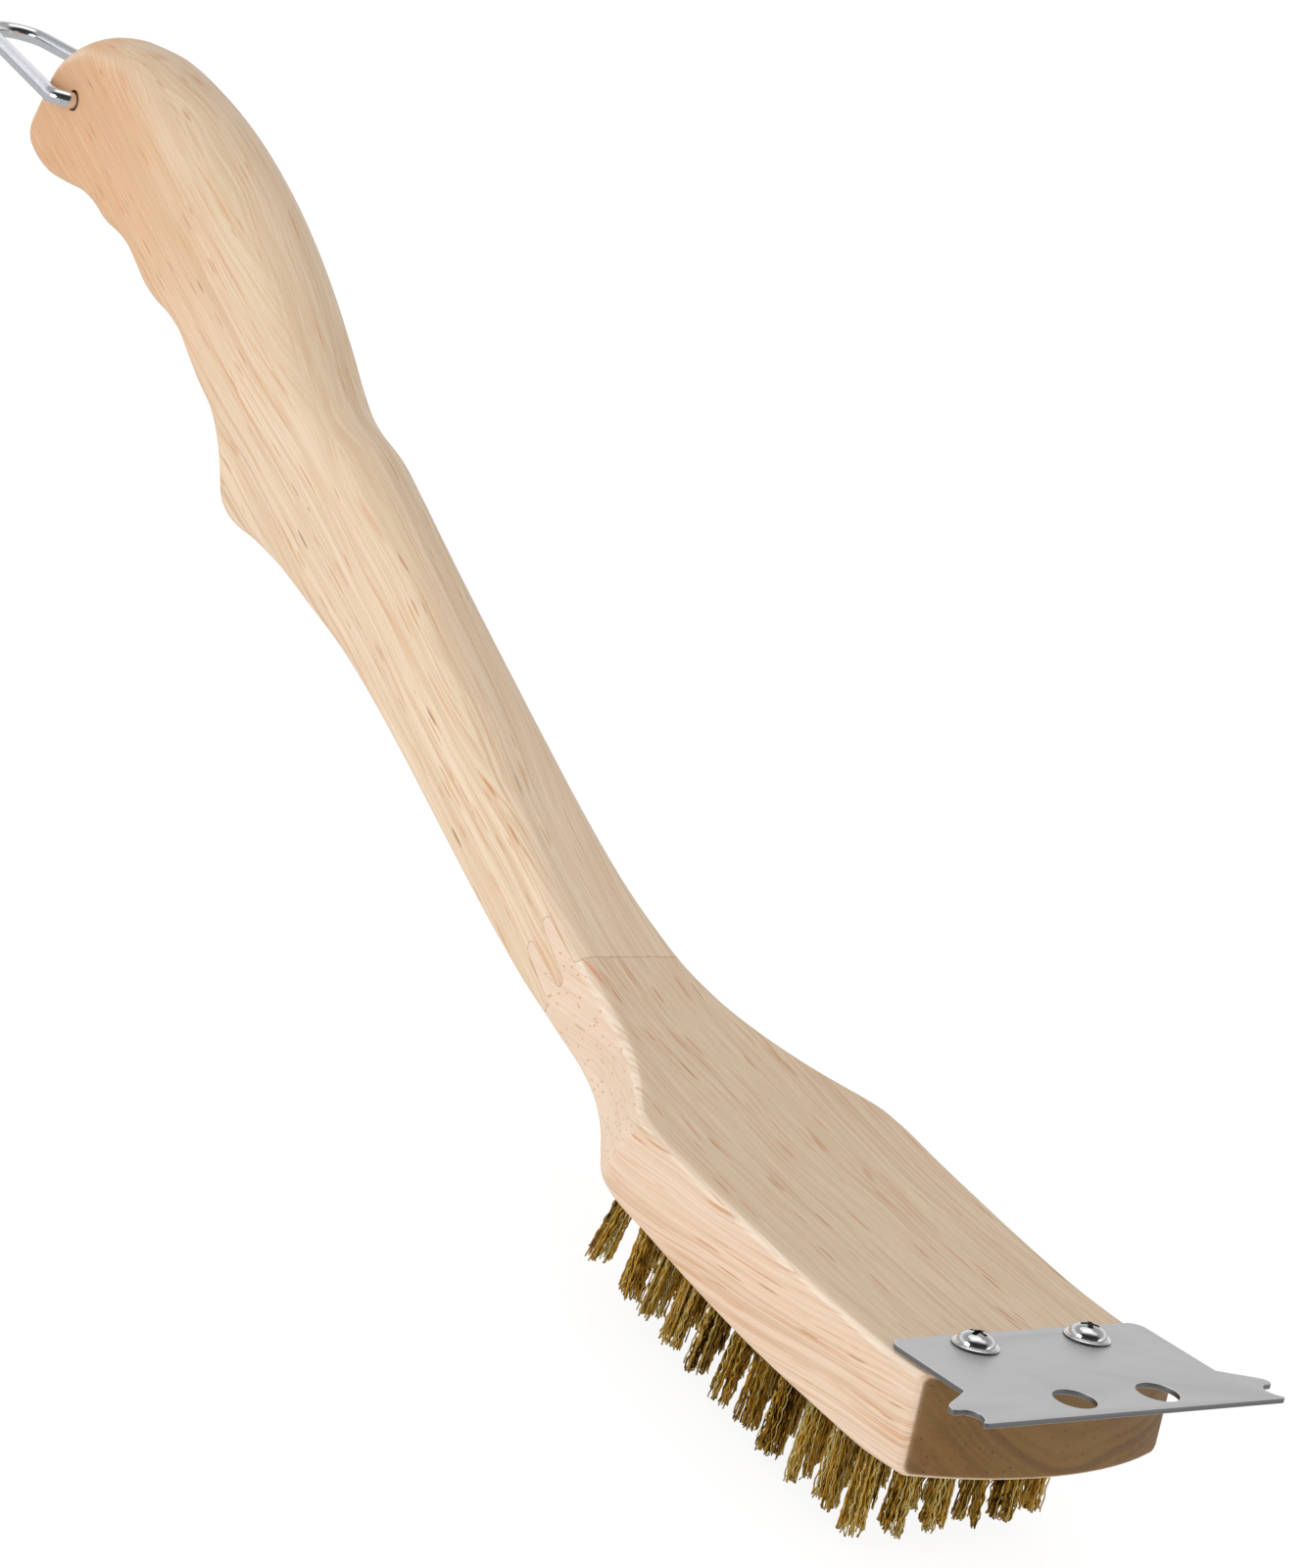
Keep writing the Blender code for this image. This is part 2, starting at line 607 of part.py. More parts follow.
def main():
    clear_scene()
    frame = build_frame()
    tufts = tuft_places()
    build_head(frame, tufts)
    build_handle(frame)
    build_plate(frame)
    build_screws(frame)
    build_ring(frame)
    build_tufts(frame, tufts)
    bpy.context.view_layer.update()


main()
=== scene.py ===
"""Barbecue grill brush: wooden head and handle, brass bristles, satin scraper plate, chrome fittings.

Lengths are millimetres in the board frame: x = 0 at the back edge of the scraper plate, +x to the
front of the head, z = 0 on the head's top face, y = 0 on the plane of symmetry.  The handle runs
towards -x and rises.  place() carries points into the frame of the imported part, where the middle
of the scraper's front edge is the origin.
"""
import math
import random
from collections import namedtuple

import bpy
import bmesh
from mathutils import Matrix, Vector


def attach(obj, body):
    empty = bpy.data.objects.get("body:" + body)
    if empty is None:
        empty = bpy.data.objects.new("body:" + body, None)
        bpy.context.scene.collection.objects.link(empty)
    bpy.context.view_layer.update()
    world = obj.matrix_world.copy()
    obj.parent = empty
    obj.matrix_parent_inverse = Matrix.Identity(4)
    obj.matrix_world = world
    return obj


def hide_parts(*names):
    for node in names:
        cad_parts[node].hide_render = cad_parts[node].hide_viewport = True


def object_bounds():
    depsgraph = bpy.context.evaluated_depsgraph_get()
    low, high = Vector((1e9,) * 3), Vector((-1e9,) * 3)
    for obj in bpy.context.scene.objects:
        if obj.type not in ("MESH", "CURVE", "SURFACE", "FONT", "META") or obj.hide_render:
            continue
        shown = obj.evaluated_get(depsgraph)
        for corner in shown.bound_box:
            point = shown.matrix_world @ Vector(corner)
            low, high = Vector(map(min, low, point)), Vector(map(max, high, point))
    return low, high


MM = 0.001
TO_MM = (1000.0, 1000.0, 1000.0)   # metres to millimetres, for texture coordinates
TIP_LINE_TILT = 9.65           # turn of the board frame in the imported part, degrees
HANDLE_SLOPE = 28.0            # degrees

# Centre line of the wood: (distance s from x = 0, positive towards the butt; slope in degrees).
SPINE_START = (0.0, -10.0)     # x, z
SPINE_SLOPE = ((0, 2.0), (80, 12.5), (110, 15.0), (175, HANDLE_SLOPE), (480, HANDLE_SLOPE))
SPINE_STEP = 0.5               # longest step along the centre line
# Lean of the cross-sections, (s, degrees): upright in the head, square to the handle further back.
SECTION_LEAN = ((-30, 0.0), (10, 0.0), (40, 9.0), (60, 20.0), (85, HANDLE_SLOPE),
                (480, HANDLE_SLOPE))

NOSE_S = -26.0                 # front end of the tables, beyond the bowed nose
BUTT_S = 453.5                 # butt end of the handle

# (s, height of the top above the centre line)
RISE = ((-26, 9.85), (0, 9.85), (12, 10.3), (30, 11.0), (60, 11.8), (88, 12.0), (110, 11.6),
        (130, 10.6), (152, 10.6), (180, 11.9), (210, 14.3), (250, 17.4), (276, 19.2), (289, 19.4),
        (298, 18.0), (304, 17.7), (311, 18.9), (324, 22.4), (342, 26.5), (360, 28.9), (378, 29.5),
        (396, 28.3), (412, 25.3), (428, 20.9), (441, 14.8), (453.5, 8.0))
# (s, depth of the underside below the centre line)
DROP = ((-26, 8.9), (-12, 10.1), (0, 10.6), (12, 10.3), (30, 9.5), (50, 8.4), (70, 7.5), (86, 7.3),
        (95, 6.0), (104, 5.0), (114, 4.7), (124, 5.4), (136, 7.0), (150, 8.3), (164, 9.2),
        (180, 10.3), (200, 11.2), (222, 11.8), (242, 12.6), (256, 13.7), (276, 17.0), (292, 19.9),
        (304, 23.4), (310, 25.7), (315, 26.8), (319, 26.2), (324, 22.2), (330, 18.2), (337, 15.2),
        (346, 14.2), (354, 13.0), (362, 11.7), (369, 12.2), (376, 13.7), (382, 14.1), (388, 13.5),
        (394, 12.9), (400, 13.7), (407, 15.6), (414, 16.1), (421, 17.7), (430, 21.9), (438, 25.2),
        (446, 26.0), (453.5, 24.7))
# (s, half the width)
HALF_WIDTH = ((-26, 31.7), (-12, 31.6), (0, 31.1), (14, 30.6), (40, 31.1), (68, 31.6), (84, 31.5),
              (88, 30.9), (92, 29.2), (96, 27.0), (101, 24.3), (106, 22.0), (112, 19.7), (120, 17.3),
              (130, 15.2), (140, 13.7), (150, 13.0), (480, 13.0))
# (s, round-over radius) of the upper and lower long edges
EDGE_TOP = ((-26, 2.0), (90, 2.2), (120, 2.6), (150, 3.6), (220, 7.0), (280, 10.0), (330, 11.5),
            (480, 11.5))
EDGE_LOW = ((-26, 2.2), (120, 2.2), (150, 2.6), (220, 3.5), (280, 4.0), (330, 4.5), (480, 4.5))
BUTT_ROUND_TOP = 11.0          # rounding of the butt's upper corner, seen from the side
BUTT_ROUND_LOW = 7.0           # rounding of its lower corner
BUTT_ROUND_SIDE = 5.0          # rounding of the butt seen from above

# Points of a cross-section: segments of each round-over, points of each half flat
ARC = 8
FLAT = 8
FLAT_GAP = 0.45                # loops this close to the round-overs keep the flats flat
HALF_POINTS = 2 * (ARC + 1 + FLAT) + 3     # points from bottom middle to top middle

HEAD_BACK_S = 168.0            # the blanks of head and handle overlap at the joint
HANDLE_FRONT_S = 126.0
STATION_PITCH = 2.0
# Distances of the last handle stations from the butt end
BUTT_STATIONS = (11.0, 9.6, 8.3, 7.1, 6.0, 5.0, 4.1, 3.3, 2.6, 2.0, 1.45, 1.0, 0.65, 0.36, 0.16,
                 0.04, 0.0)

# Nose of the head seen from above: a shallow bow with small corner roundings
NOSE_X = 19.2
NOSE_RADIUS = 69.0
NOSE_CORNER = 1.2

# Finger joint between head and handle: fingers run along the handle, stacked in height
JOINT_AT = (-133.5, 26.4)      # where the straight seam crosses the top face (x, z)
JOINT_LENGTH = 15.0
JOINT_PITCH = 7.4
JOINT_FIRST = -4.8             # centre of the head's top finger below the seam
JOINT_TIP_RADIUS = 1.35
JOINT_ARCS = 5                 # rounded finger ends along the joint line
JOINT_TOP, JOINT_BOTTOM = 40.0, -45.0      # reach of the joint cutters along the seam
JOINT_HALF = 45.0              # half width of the joint cutters
SEAM = 0.08                    # gap between the glued faces

# Scraper plate
PLATE_T = 1.1
PLATE_Z = 0.15                 # its lower face
PLATE_HALF = 30.4
PLATE_CORNER = 3.0
PLATE_FRONT = 35.4
PLATE_FRONT_HALF = 36.2
PLATE_FRONT_CORNER = 0.6
PLATE_BEVEL = 0.14
# Ear at the side of the plate, (x, y), from the straight side towards the front
EAR = ((22.3, PLATE_HALF), (24.0, 33.0), (25.9, 36.2), (27.1, 37.9), (28.3, 38.5), (29.2, 38.2),
       (29.5, 37.3), (29.5, 36.2), (30.2, 35.2), (31.4, 34.5), (32.7, 34.6), (34.0, 35.2))
SCREW_AT = (4.94, 13.6)
# (centre, radius) of the holes in one half of the plate: screw hole, front hole
PLATE_HOLES = ((SCREW_AT, 2.15), ((28.9, 10.0), 4.15))

# Screws: flanged pan head with a cross recess
SCREW_SEAT = PLATE_Z + PLATE_T + 0.1
SCREW_SIDES = 96
FLANGE_R = 4.55
FLANGE_T = 0.5
DOME_R = 3.65
DOME_H = 2.6
SHANK_R = 1.75
SHANK_L = 13.5
SHANK_POINT = 2.0              # length of the shank's cone
# Cross recess: height from the dome's top, half width of an arm, reach of an arm
CROSS = ((3.0, 0.62, 2.55), (-0.1, 0.52, 1.95), (-1.2, 0.30, 0.75), (-1.7, 0.12, 0.3))
# Object, CAD piece, side in y, turn of the cross in degrees
SCREWS = (("chrome_screw_left", "screw_left", -1, 20.0),
          ("chrome_screw_right", "screw_right", 1, 52.0))

# Hanging ring
RING_HINGE = (-402.0, 151.8)   # x, z
RING_HOLE = 2.6                # radius
WIRE_R = 2.0
WIRE_SIDES = 28
RING_REST = 7.0                # rest direction above -x, degrees
RING_END = 5.5                 # the wire ends inside the hole, this far from the middle
RING_SHOULDER = 17.2           # where the legs leave the pivot line
RING_BEND = 4.0
RING_APEX_R = 8.2
RING_APEX_REACH = 64.0         # from the hinge to the apex

# Bristle tufts: a square grid on the underside, each tuft standing square to the wood
TUFT_PITCH = 8.3               # along x
TUFT_FRONT_X = -6.5
TUFT_COLUMN_PITCH = 8.7        # across
TUFT_COLUMNS = tuple(TUFT_COLUMN_PITCH * (k - 2.5) for k in range(6))
TUFT_ROWS = 11
TUFT_ROW_BOW = 2.5             # how far the rows bow forward in the middle of the head
TUFT_LEVEL = ("c", 5)          # column and row of the tuft that stands exactly upright
TUFT_HOLE_R = 2.85
TUFT_HOLE_DEPTH = 6.0
TUFT_LENGTH = 20.3             # bristle length below the wood

Section = namedtuple("Section", "centre lean up down half_width top_r low_r")


# ---------------------------------------------------------------- shape of the wood
def straight(table, s):
    """Piecewise straight value of a (position, value) table."""
    if s <= table[0][0]:
        return table[0][1]
    for (start, low), (end, high) in zip(table, table[1:]):
        if s <= end:
            return low + (high - low) * (s - start) / (end - start)
    return table[-1][1]


def smooth(table, s):
    """Smooth value of a (position, value) table: cubic Hermite with weighted mean slopes."""
    n = len(table)
    if s <= table[0][0]:
        return table[0][1]
    if s >= table[-1][0]:
        return table[-1][1]
    i = 0
    while table[i + 1][0] < s:
        i += 1

    def chord(k):
        return (table[k + 1][1] - table[k][1]) / (table[k + 1][0] - table[k][0])

    def slope(k):
        if k == 0:
            return chord(0)
        if k == n - 1:
            return chord(n - 2)
        before = table[k][0] - table[k - 1][0]
        after = table[k + 1][0] - table[k][0]
        return (chord(k - 1) * after + chord(k) * before) / (before + after)

    start, low = table[i]
    end, high = table[i + 1]
    span = end - start
    t = (s - start) / span
    return (low * (2 * t ** 3 - 3 * t ** 2 + 1) + span * slope(i) * (t ** 3 - 2 * t ** 2 + t)
            + high * (-2 * t ** 3 + 3 * t ** 2) + span * slope(i + 1) * (t ** 3 - t ** 2))


def quarter(steps):
    """Angles from 0 to a right angle."""
    return [math.pi / 2 * k / steps for k in range(steps + 1)]


def spine(s):
    """Point (x, z) of the wood's centre line at distance s."""
    x, z = SPINE_START
    if s <= 0:
        return x - s, z
    done = 0.0
    while done < s - 1e-9:
        step = min(SPINE_STEP, s - done)
        slope = math.radians(straight(SPINE_SLOPE, done + step / 2))
        x -= math.cos(slope) * step
        z += math.sin(slope) * step
        done += step
    return x, z


def rounded(to_end, radius):
    """How far a corner has pulled in at a distance from the end."""
    if to_end >= radius:
        return 0.0
    return radius - math.sqrt(max(0.0, radius * radius - (radius - to_end) * (radius - to_end)))


def section(s):
    """Cross-section of the wood at s."""
    to_butt = BUTT_S - s
    up = smooth(RISE, s) - rounded(to_butt, BUTT_ROUND_TOP)
    down = smooth(DROP, s) - rounded(to_butt, BUTT_ROUND_LOW)
    half_width = smooth(HALF_WIDTH, s) - rounded(to_butt, BUTT_ROUND_SIDE)
    limit = 0.48 * min(up + down, 2 * half_width)
    return Section(spine(s), math.radians(straight(SECTION_LEAN, s)), up, down, half_width,
                   min(straight(EDGE_TOP, s), limit), min(straight(EDGE_LOW, s), limit))


def underside(x):
    """Height and slope of the head's underside at x, by bisection through the sections."""
    def low_point(s):
        cut = section(s)
        return (cut.centre[0] - cut.down * math.sin(cut.lean),
                cut.centre[1] - cut.down * math.cos(cut.lean))
    front, back = NOSE_S, 150.0
    for _ in range(50):
        middle = (front + back) / 2
        if low_point(middle)[0] > x:
            front = middle
        else:
            back = middle
    ahead, behind = low_point(front - 2.0), low_point(front + 2.0)
    return low_point(front)[1], (ahead[1] - behind[1]) / (ahead[0] - behind[0])


def outline(cut, inset=0.0):
    """Closed (y, height) points of a cross-section, shrunk by inset all round."""
    up, down, width = cut.up - inset, cut.down - inset, cut.half_width - inset
    top_r, low_r = max(cut.top_r - inset, 0.3), max(cut.low_r - inset, 0.3)
    half = [((width - low_r - FLAT_GAP) * k / (FLAT - 1), -down) for k in range(FLAT)]
    half += [(width - low_r + low_r * math.sin(a), -down + low_r - low_r * math.cos(a))
             for a in quarter(ARC)]
    tall = up - top_r + down - low_r
    half += [(width, -down + low_r + tall * k) for k in (0.04, 0.5, 0.96)]
    half += [(width - top_r + top_r * math.cos(a), up - top_r + top_r * math.sin(a))
             for a in quarter(ARC)]
    half += [((width - top_r - FLAT_GAP) * (1 - k / (FLAT - 1)), up) for k in range(FLAT)]
    return half + [(-y, height) for y, height in reversed(half[1:-1])]


def wood_ring(s):
    cut = section(s)
    x, z = cut.centre
    return [(x + height * math.sin(cut.lean), y, z + height * math.cos(cut.lean))
            for y, height in outline(cut)]


def bow(y):
    """Front of the head in plan."""
    return NOSE_X - (NOSE_RADIUS - math.sqrt(NOSE_RADIUS ** 2 - y * y))


def nose_rings():
    """Rings between x = 0 and the bowed front face, whose edges are rounded over."""
    plain = outline(section(0.0))
    # share of the way to the bow, inset of the outline, distance behind the bow
    steps = [(k / 9.0, 0.0, NOSE_CORNER) for k in range(1, 10)]
    steps += [(1.0, NOSE_CORNER * (1 - math.cos(a)), NOSE_CORNER * (1 - math.sin(a)))
              for a in quarter(6)[1:]]
    steps.append((1.0, NOSE_CORNER + FLAT_GAP, 0.0))
    rings = []
    for reach, inset, behind in steps:
        ring = []
        for j, (y, _) in enumerate(plain):
            for _ in range(2):             # the second pass settles y on the bow
                x = (bow(y) - behind) * reach
                y, height = outline(section(-x), inset)[j]
            ring.append((x, y, spine(-x)[1] + height))
        rings.append(ring)
    return rings


def tuft_grid():
    """Name, root and direction of every tuft."""
    tufts = []
    for column, y in zip("abcdef", TUFT_COLUMNS):
        for row in range(1, TUFT_ROWS + 1):
            x = (TUFT_FRONT_X - TUFT_PITCH * (row - 1)
                 + TUFT_ROW_BOW * (1 - (y / TUFT_COLUMNS[0]) ** 2))
            z, slope = underside(x)
            lean = -math.atan(slope)
            if (column, row) == TUFT_LEVEL:
                lean = math.radians(TIP_LINE_TILT)
            tufts.append((column + "%02d" % row, Vector((x, y, z)),
                          Vector((-math.sin(lean), 0, -math.cos(lean)))))
    return tufts


# ---------------------------------------------------------------- skins: (vertices, faces)
def walls(n, count):
    """Faces between count rings of n points."""
    return [(i * n + k, i * n + (k + 1) % n, (i + 1) * n + (k + 1) % n, (i + 1) * n + k)
            for i in range(count - 1) for k in range(n)]


def end_cap(first):
    """Faces that close a wood ring by upright strips between its lower and upper run."""
    n = 2 * HALF_POINTS - 2
    run = HALF_POINTS // 2 - 1
    faces = []
    for side in (1, -1):
        loop = [first + (side * k) % n for k in range(HALF_POINTS)]
        for k in range(run - 1):
            faces.append((loop[k], loop[k + 1],
                          loop[HALF_POINTS - 2 - k], loop[HALF_POINTS - 1 - k]))
        faces.append(tuple(loop[run - 1:HALF_POINTS - run + 1]))
    return faces


def wood_skin(rings):
    n = len(rings[0])
    faces = walls(n, len(rings)) + end_cap(0) + end_cap((len(rings) - 1) * n)
    return [v for ring in rings for v in ring], faces


def loft(rings):
    """Closed skin over equal rings, with end caps."""
    n = len(rings[0])
    faces = walls(n, len(rings))
    faces.append(tuple(range(n))[::-1])
    faces.append(tuple((len(rings) - 1) * n + k for k in range(n)))
    return [v for ring in rings for v in ring], faces


def cylinder(base, direction, radius, length, sides):
    """Closed cylinder from base along direction."""
    axis = Vector(direction).normalized()
    side = axis.cross(Vector((0, 1, 0)))
    if side.length < 0.2:                  # the axis is close to y
        side = axis.cross(Vector((1, 0, 0)))
    side.normalize()
    other = axis.cross(side)
    turns = [2 * math.pi * k / sides for k in range(sides)]
    return loft([[Vector(base) + axis * height + side * radius * math.cos(a)
                  + other * radius * math.sin(a) for a in turns] for height in (0.0, length)])


def revolve(profile, n):
    """Closed solid turned about z; the profile runs from the top pole to the bottom pole."""
    verts = [(0.0, 0.0, profile[0][1])]
    for r, z in profile[1:-1]:
        verts += [(r * math.cos(2 * math.pi * k / n), r * math.sin(2 * math.pi * k / n), z)
                  for k in range(n)]
    verts.append((0.0, 0.0, profile[-1][1]))
    faces = [(0, 1 + k, 1 + (k + 1) % n) for k in range(n)]
    for i in range(len(profile) - 3):
        first = 1 + i * n
        for k in range(n):
            after = (k + 1) % n
            faces.append((first + k, first + n + k, first + n + after, first + after))
    last = 1 + (len(profile) - 3) * n
    faces += [(last + k, len(verts) - 1, last + (k + 1) % n) for k in range(n)]
    return verts, faces


def join(skins):
    verts, faces = [], []
    for skin_verts, skin_faces in skins:
        offset = len(verts)
        verts += skin_verts
        faces += [tuple(i + offset for i in face) for face in skin_faces]
    return verts, faces


def catmull(points, steps):
    """Smooth curve through plane points."""
    curve = []
    padded = [points[0], *points, points[-1]]
    for i in range(1, len(padded) - 2):
        p0, p1, p2, p3 = (Vector(p) for p in padded[i - 1:i + 3])
        for k in range(steps):
            t = k / steps
            curve.append(tuple(
                0.5 * (2 * p1 + (p2 - p0) * t + (2 * p0 - 5 * p1 + 4 * p2 - p3) * t * t
                       + (3 * p1 - p0 - 3 * p2 + p3) * t ** 3)))
    return curve + [tuple(points[-1])]


# ---------------------------------------------------------------- objects
TURN = Matrix.Rotation(math.radians(-TIP_LINE_TILT), 3, "Y")
EDGE = Vector((PLATE_FRONT, 0.0, PLATE_Z + PLATE_T / 2))


def place(p):
    """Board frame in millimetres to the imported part's frame in metres."""
    return TURN @ (Vector(p) - EDGE) * MM


def add_object(name, data):
    ob = bpy.data.objects.new(name, data)
    bpy.context.scene.collection.objects.link(ob)
    return ob


def solid(name, skin, sharp=35.0):
    """Closed smooth-shaded mesh object; edges over sharp degrees stay sharp."""
    verts, faces = skin
    mesh = bpy.data.meshes.new(name)
    mesh.from_pydata([place(v) for v in verts], [], faces)
    bm = bmesh.new()
    bm.from_mesh(mesh)
    bmesh.ops.recalc_face_normals(bm, faces=bm.faces)
    bm.to_mesh(mesh)
    bm.free()
    mesh.shade_smooth()
    mesh.set_sharp_from_angle(angle=math.radians(sharp))
    return add_object(name, mesh)


def add_values(mesh, name, domain, values):
    layer = mesh.attributes.new(name, "FLOAT", domain)
    layer.data.foreach_set("value", values)


def bake_modifiers(ob, sharp=None):
    bpy.context.view_layer.update()
    graph = bpy.context.evaluated_depsgraph_get()
    mesh = bpy.data.meshes.new_from_object(ob.evaluated_get(graph))
    ob.modifiers.clear()
    ob.data = mesh
    if sharp:
        mesh.shade_smooth()
        mesh.set_sharp_from_angle(angle=math.radians(sharp))


def carve(ob, cutters, sharp=None):
    """Subtract the cutters from ob and throw them away."""
    for cutter in cutters:
        mod = ob.modifiers.new(cutter.name, "BOOLEAN")
        mod.operation = "DIFFERENCE"
        mod.solver = "EXACT"
        mod.object = cutter
    bake_modifiers(ob, sharp)
    for cutter in cutters:
        bpy.data.objects.remove(cutter, do_unlink=True)


def register(ob, mat, node, carrier="brush"):
    ob.data.materials.clear()
    ob.data.materials.append(mat)
    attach(ob, carrier)
    if node:
        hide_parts(node)


# ---------------------------------------------------------------- head and handle
JOINT_TILT = math.radians(HANDLE_SLOPE)
JOINT_BACK = Vector((-math.cos(JOINT_TILT), 0, math.sin(JOINT_TILT)))
JOINT_UP = Vector((math.sin(JOINT_TILT), 0, math.cos(JOINT_TILT)))


def joint_edge(side):
    """(back, up) points of the finger line, half the seam to one side of it."""
    shift = side * SEAM / 2
    points = [(-shift, JOINT_TOP)]
    fan = list(range(80, -81, -10))
    for i in range(JOINT_ARCS):
        height = JOINT_FIRST + JOINT_PITCH / 2 * (1 - i)
        angles = fan
        if i == 0:
            angles = fan[8:]
        elif i == JOINT_ARCS - 1:
            angles = fan[:9]
        # arcs bulge by turns backwards, at the fingers' length, and forwards, at the seam
        bulge = 1 if i % 2 else -1
        base = JOINT_LENGTH - JOINT_TIP_RADIUS if i % 2 else JOINT_TIP_RADIUS
        radius = JOINT_TIP_RADIUS - bulge * shift
        points += [(base + bulge * radius * math.cos(math.radians(a)),
                    height + radius * math.sin(math.radians(a))) for a in angles]
    points.append((-shift, JOINT_BOTTOM))
    return points


def joint_block(name, side):
    """Cutter for all the wood behind (side 1) or in front of (side -1) the finger line."""
    far = 120.0 if side > 0 else -160.0
    points = joint_edge(side) + [(far, JOINT_BOTTOM), (far, JOINT_TOP)]
    x, z = JOINT_AT
    profile = [(x + back * JOINT_BACK.x + up * JOINT_UP.x,
                z + back * JOINT_BACK.z + up * JOINT_UP.z) for back, up in points]
    return solid(name, loft([[(px, y, pz) for px, pz in profile]
                             for y in (-JOINT_HALF, JOINT_HALF)]))


def make_head(mat):
    rings = [wood_ring(HEAD_BACK_S - STATION_PITCH * k) for k in range(85)] + nose_rings()
    head = solid("wood_head", wood_skin(rings))
    holes = join(cylinder(root - direction * TUFT_HOLE_DEPTH, direction, TUFT_HOLE_R,
                          2 * TUFT_HOLE_DEPTH, sides=24) for _, root, direction in tuft_grid())
    carve(head, [joint_block("cut_a", 1), solid("cut_b", holes)], sharp=35.0)
    register(head, mat, "head_block")


def make_handle(mat):
    stations = [HANDLE_FRONT_S + STATION_PITCH * k for k in range(158)]
    stations += [BUTT_S - to_butt for to_butt in BUTT_STATIONS]
    handle = solid("wood_handle", wood_skin([wood_ring(s) for s in stations]))
    hole = cylinder((RING_HINGE[0], -30.0, RING_HINGE[1]), (0, 1, 0), RING_HOLE, 60.0, sides=48)
    carve(handle, [joint_block("cut_c", -1), solid("cut_d", hole)], sharp=35.0)
    register(handle, mat, "handle")


# ---------------------------------------------------------------- metal parts
def plate_outline():
    r = PLATE_CORNER
    half = [(r - r * math.cos(a), PLATE_HALF - r + r * math.sin(a)) for a in quarter(10)]
    half += [EAR[0]] + catmull(EAR[1:], 6)
    r = PLATE_FRONT_CORNER
    half += [(PLATE_FRONT - r + r * math.cos(a), PLATE_FRONT_HALF - r + r * math.sin(a))
             for a in reversed(quarter(6))]
    return half + [(x, -y) for x, y in reversed(half)]


def slab(points, low, high):
    """Skin of a plate outline between two heights."""
    return loft([[(x, y, z) for x, y in points] for z in (low, high)])


def make_plate(mat):
    plate = solid("steel_plate", slab(plate_outline(), PLATE_Z, PLATE_Z + PLATE_T), sharp=30.0)
    cutters = []
    for k, side in enumerate((-1, 1)):
        for j, ((x, y), radius) in enumerate(PLATE_HOLES):
            points = [(x + radius * math.cos(2 * math.pi * i / 64),
                       side * y + radius * math.sin(2 * math.pi * i / 64)) for i in range(64)]
            cutters.append(solid("cut_%d%d" % (k, j), slab(points, -4.0, 6.0)))
    carve(plate, cutters)
    bevel = plate.modifiers.new("edge", "BEVEL")
    bevel.width = PLATE_BEVEL * MM
    bevel.segments = 3
    bevel.limit_method = "ANGLE"
    bevel.angle_limit = math.radians(50)
    bake_modifiers(plate, sharp=30.0)
    register(plate, mat, "scraper_plate")


def dome_height(cosine):
    return FLANGE_T + (DOME_H - FLANGE_T) * cosine ** 0.9


def screw_profile():
    """(radius, height) from the top of the dome over the flange's rim to the shank's point."""
    profile = [(0.0, DOME_H)]
    for k in range(1, 17):
        a = math.radians(5.2 * k)
        profile.append((DOME_R * math.sin(a), dome_height(math.cos(a))))
    profile += [(DOME_R + 0.02, FLANGE_T + 0.06), (DOME_R + 0.12, FLANGE_T),
                (FLANGE_R - 0.55, FLANGE_T - 0.02), (FLANGE_R - 0.25, FLANGE_T - 0.08),
                (FLANGE_R - 0.07, FLANGE_T - 0.2), (FLANGE_R, 0.2), (FLANGE_R - 0.1, 0.06),
                (FLANGE_R - 0.3, 0.0), (SHANK_R, 0.0), (SHANK_R, -SHANK_L + SHANK_POINT),
                (0.0, -SHANK_L)]
    return [(r, z + SCREW_SEAT) for r, z in profile]


def cross_skin(at, turned):
    """Tapered cross: four arms that narrow and shorten towards the bottom of the recess."""
    a = math.radians(turned)
    rings = []
    for level, w, l in CROSS:
        points = [(l, -w), (l, w), (w, w), (w, l), (-w, l), (-w, w),
                  (-l, w), (-l, -w), (-w, -w), (-w, -l), (w, -l), (w, -w)]
        rings.append([Vector((x * math.cos(a) - y * math.sin(a), x * math.sin(a) + y * math.cos(a),
                              SCREW_SEAT + DOME_H + level)) + at for x, y in points])
    return loft(rings)


def mark_painted_shade(screw, at):
    """Mark the faces of the recess and of the flange's foot for painted shade: full in the recess, a
    lighter painted contact shadow at the foot.
    """
    painted_shade = []
    inverse = TURN.transposed()
    for face in screw.data.polygons:
        q = inverse @ (face.center / MM) + EDGE - at
        r, height = math.hypot(q.x, q.y), q.z - SCREW_SEAT
        skin = dome_height(math.sqrt(max(0.0, 1 - (r / DOME_R) ** 2)))
        if r < 2.6 and 0 < height < skin - 0.07:
            painted_shade.append(1.0)
        else:
            # painted contact shadow at the flange's foot
            painted_shade.append(0.55 if height < 0.16 else 0.0)
    add_values(screw.data, "painted_shade", "FACE", painted_shade)


def make_screws(mat):
    for name, node, side, turned in SCREWS:
        at = Vector((SCREW_AT[0], side * SCREW_AT[1], 0.0))
        verts, faces = revolve(screw_profile(), SCREW_SIDES)
        screw = solid(name, ([Vector(p) + at for p in verts], faces), sharp=40.0)
        carve(screw, [solid("cut_cross", cross_skin(at, turned), sharp=20.0)], sharp=32.0)
        mark_painted_shade(screw, at)
        register(screw, mat, node)


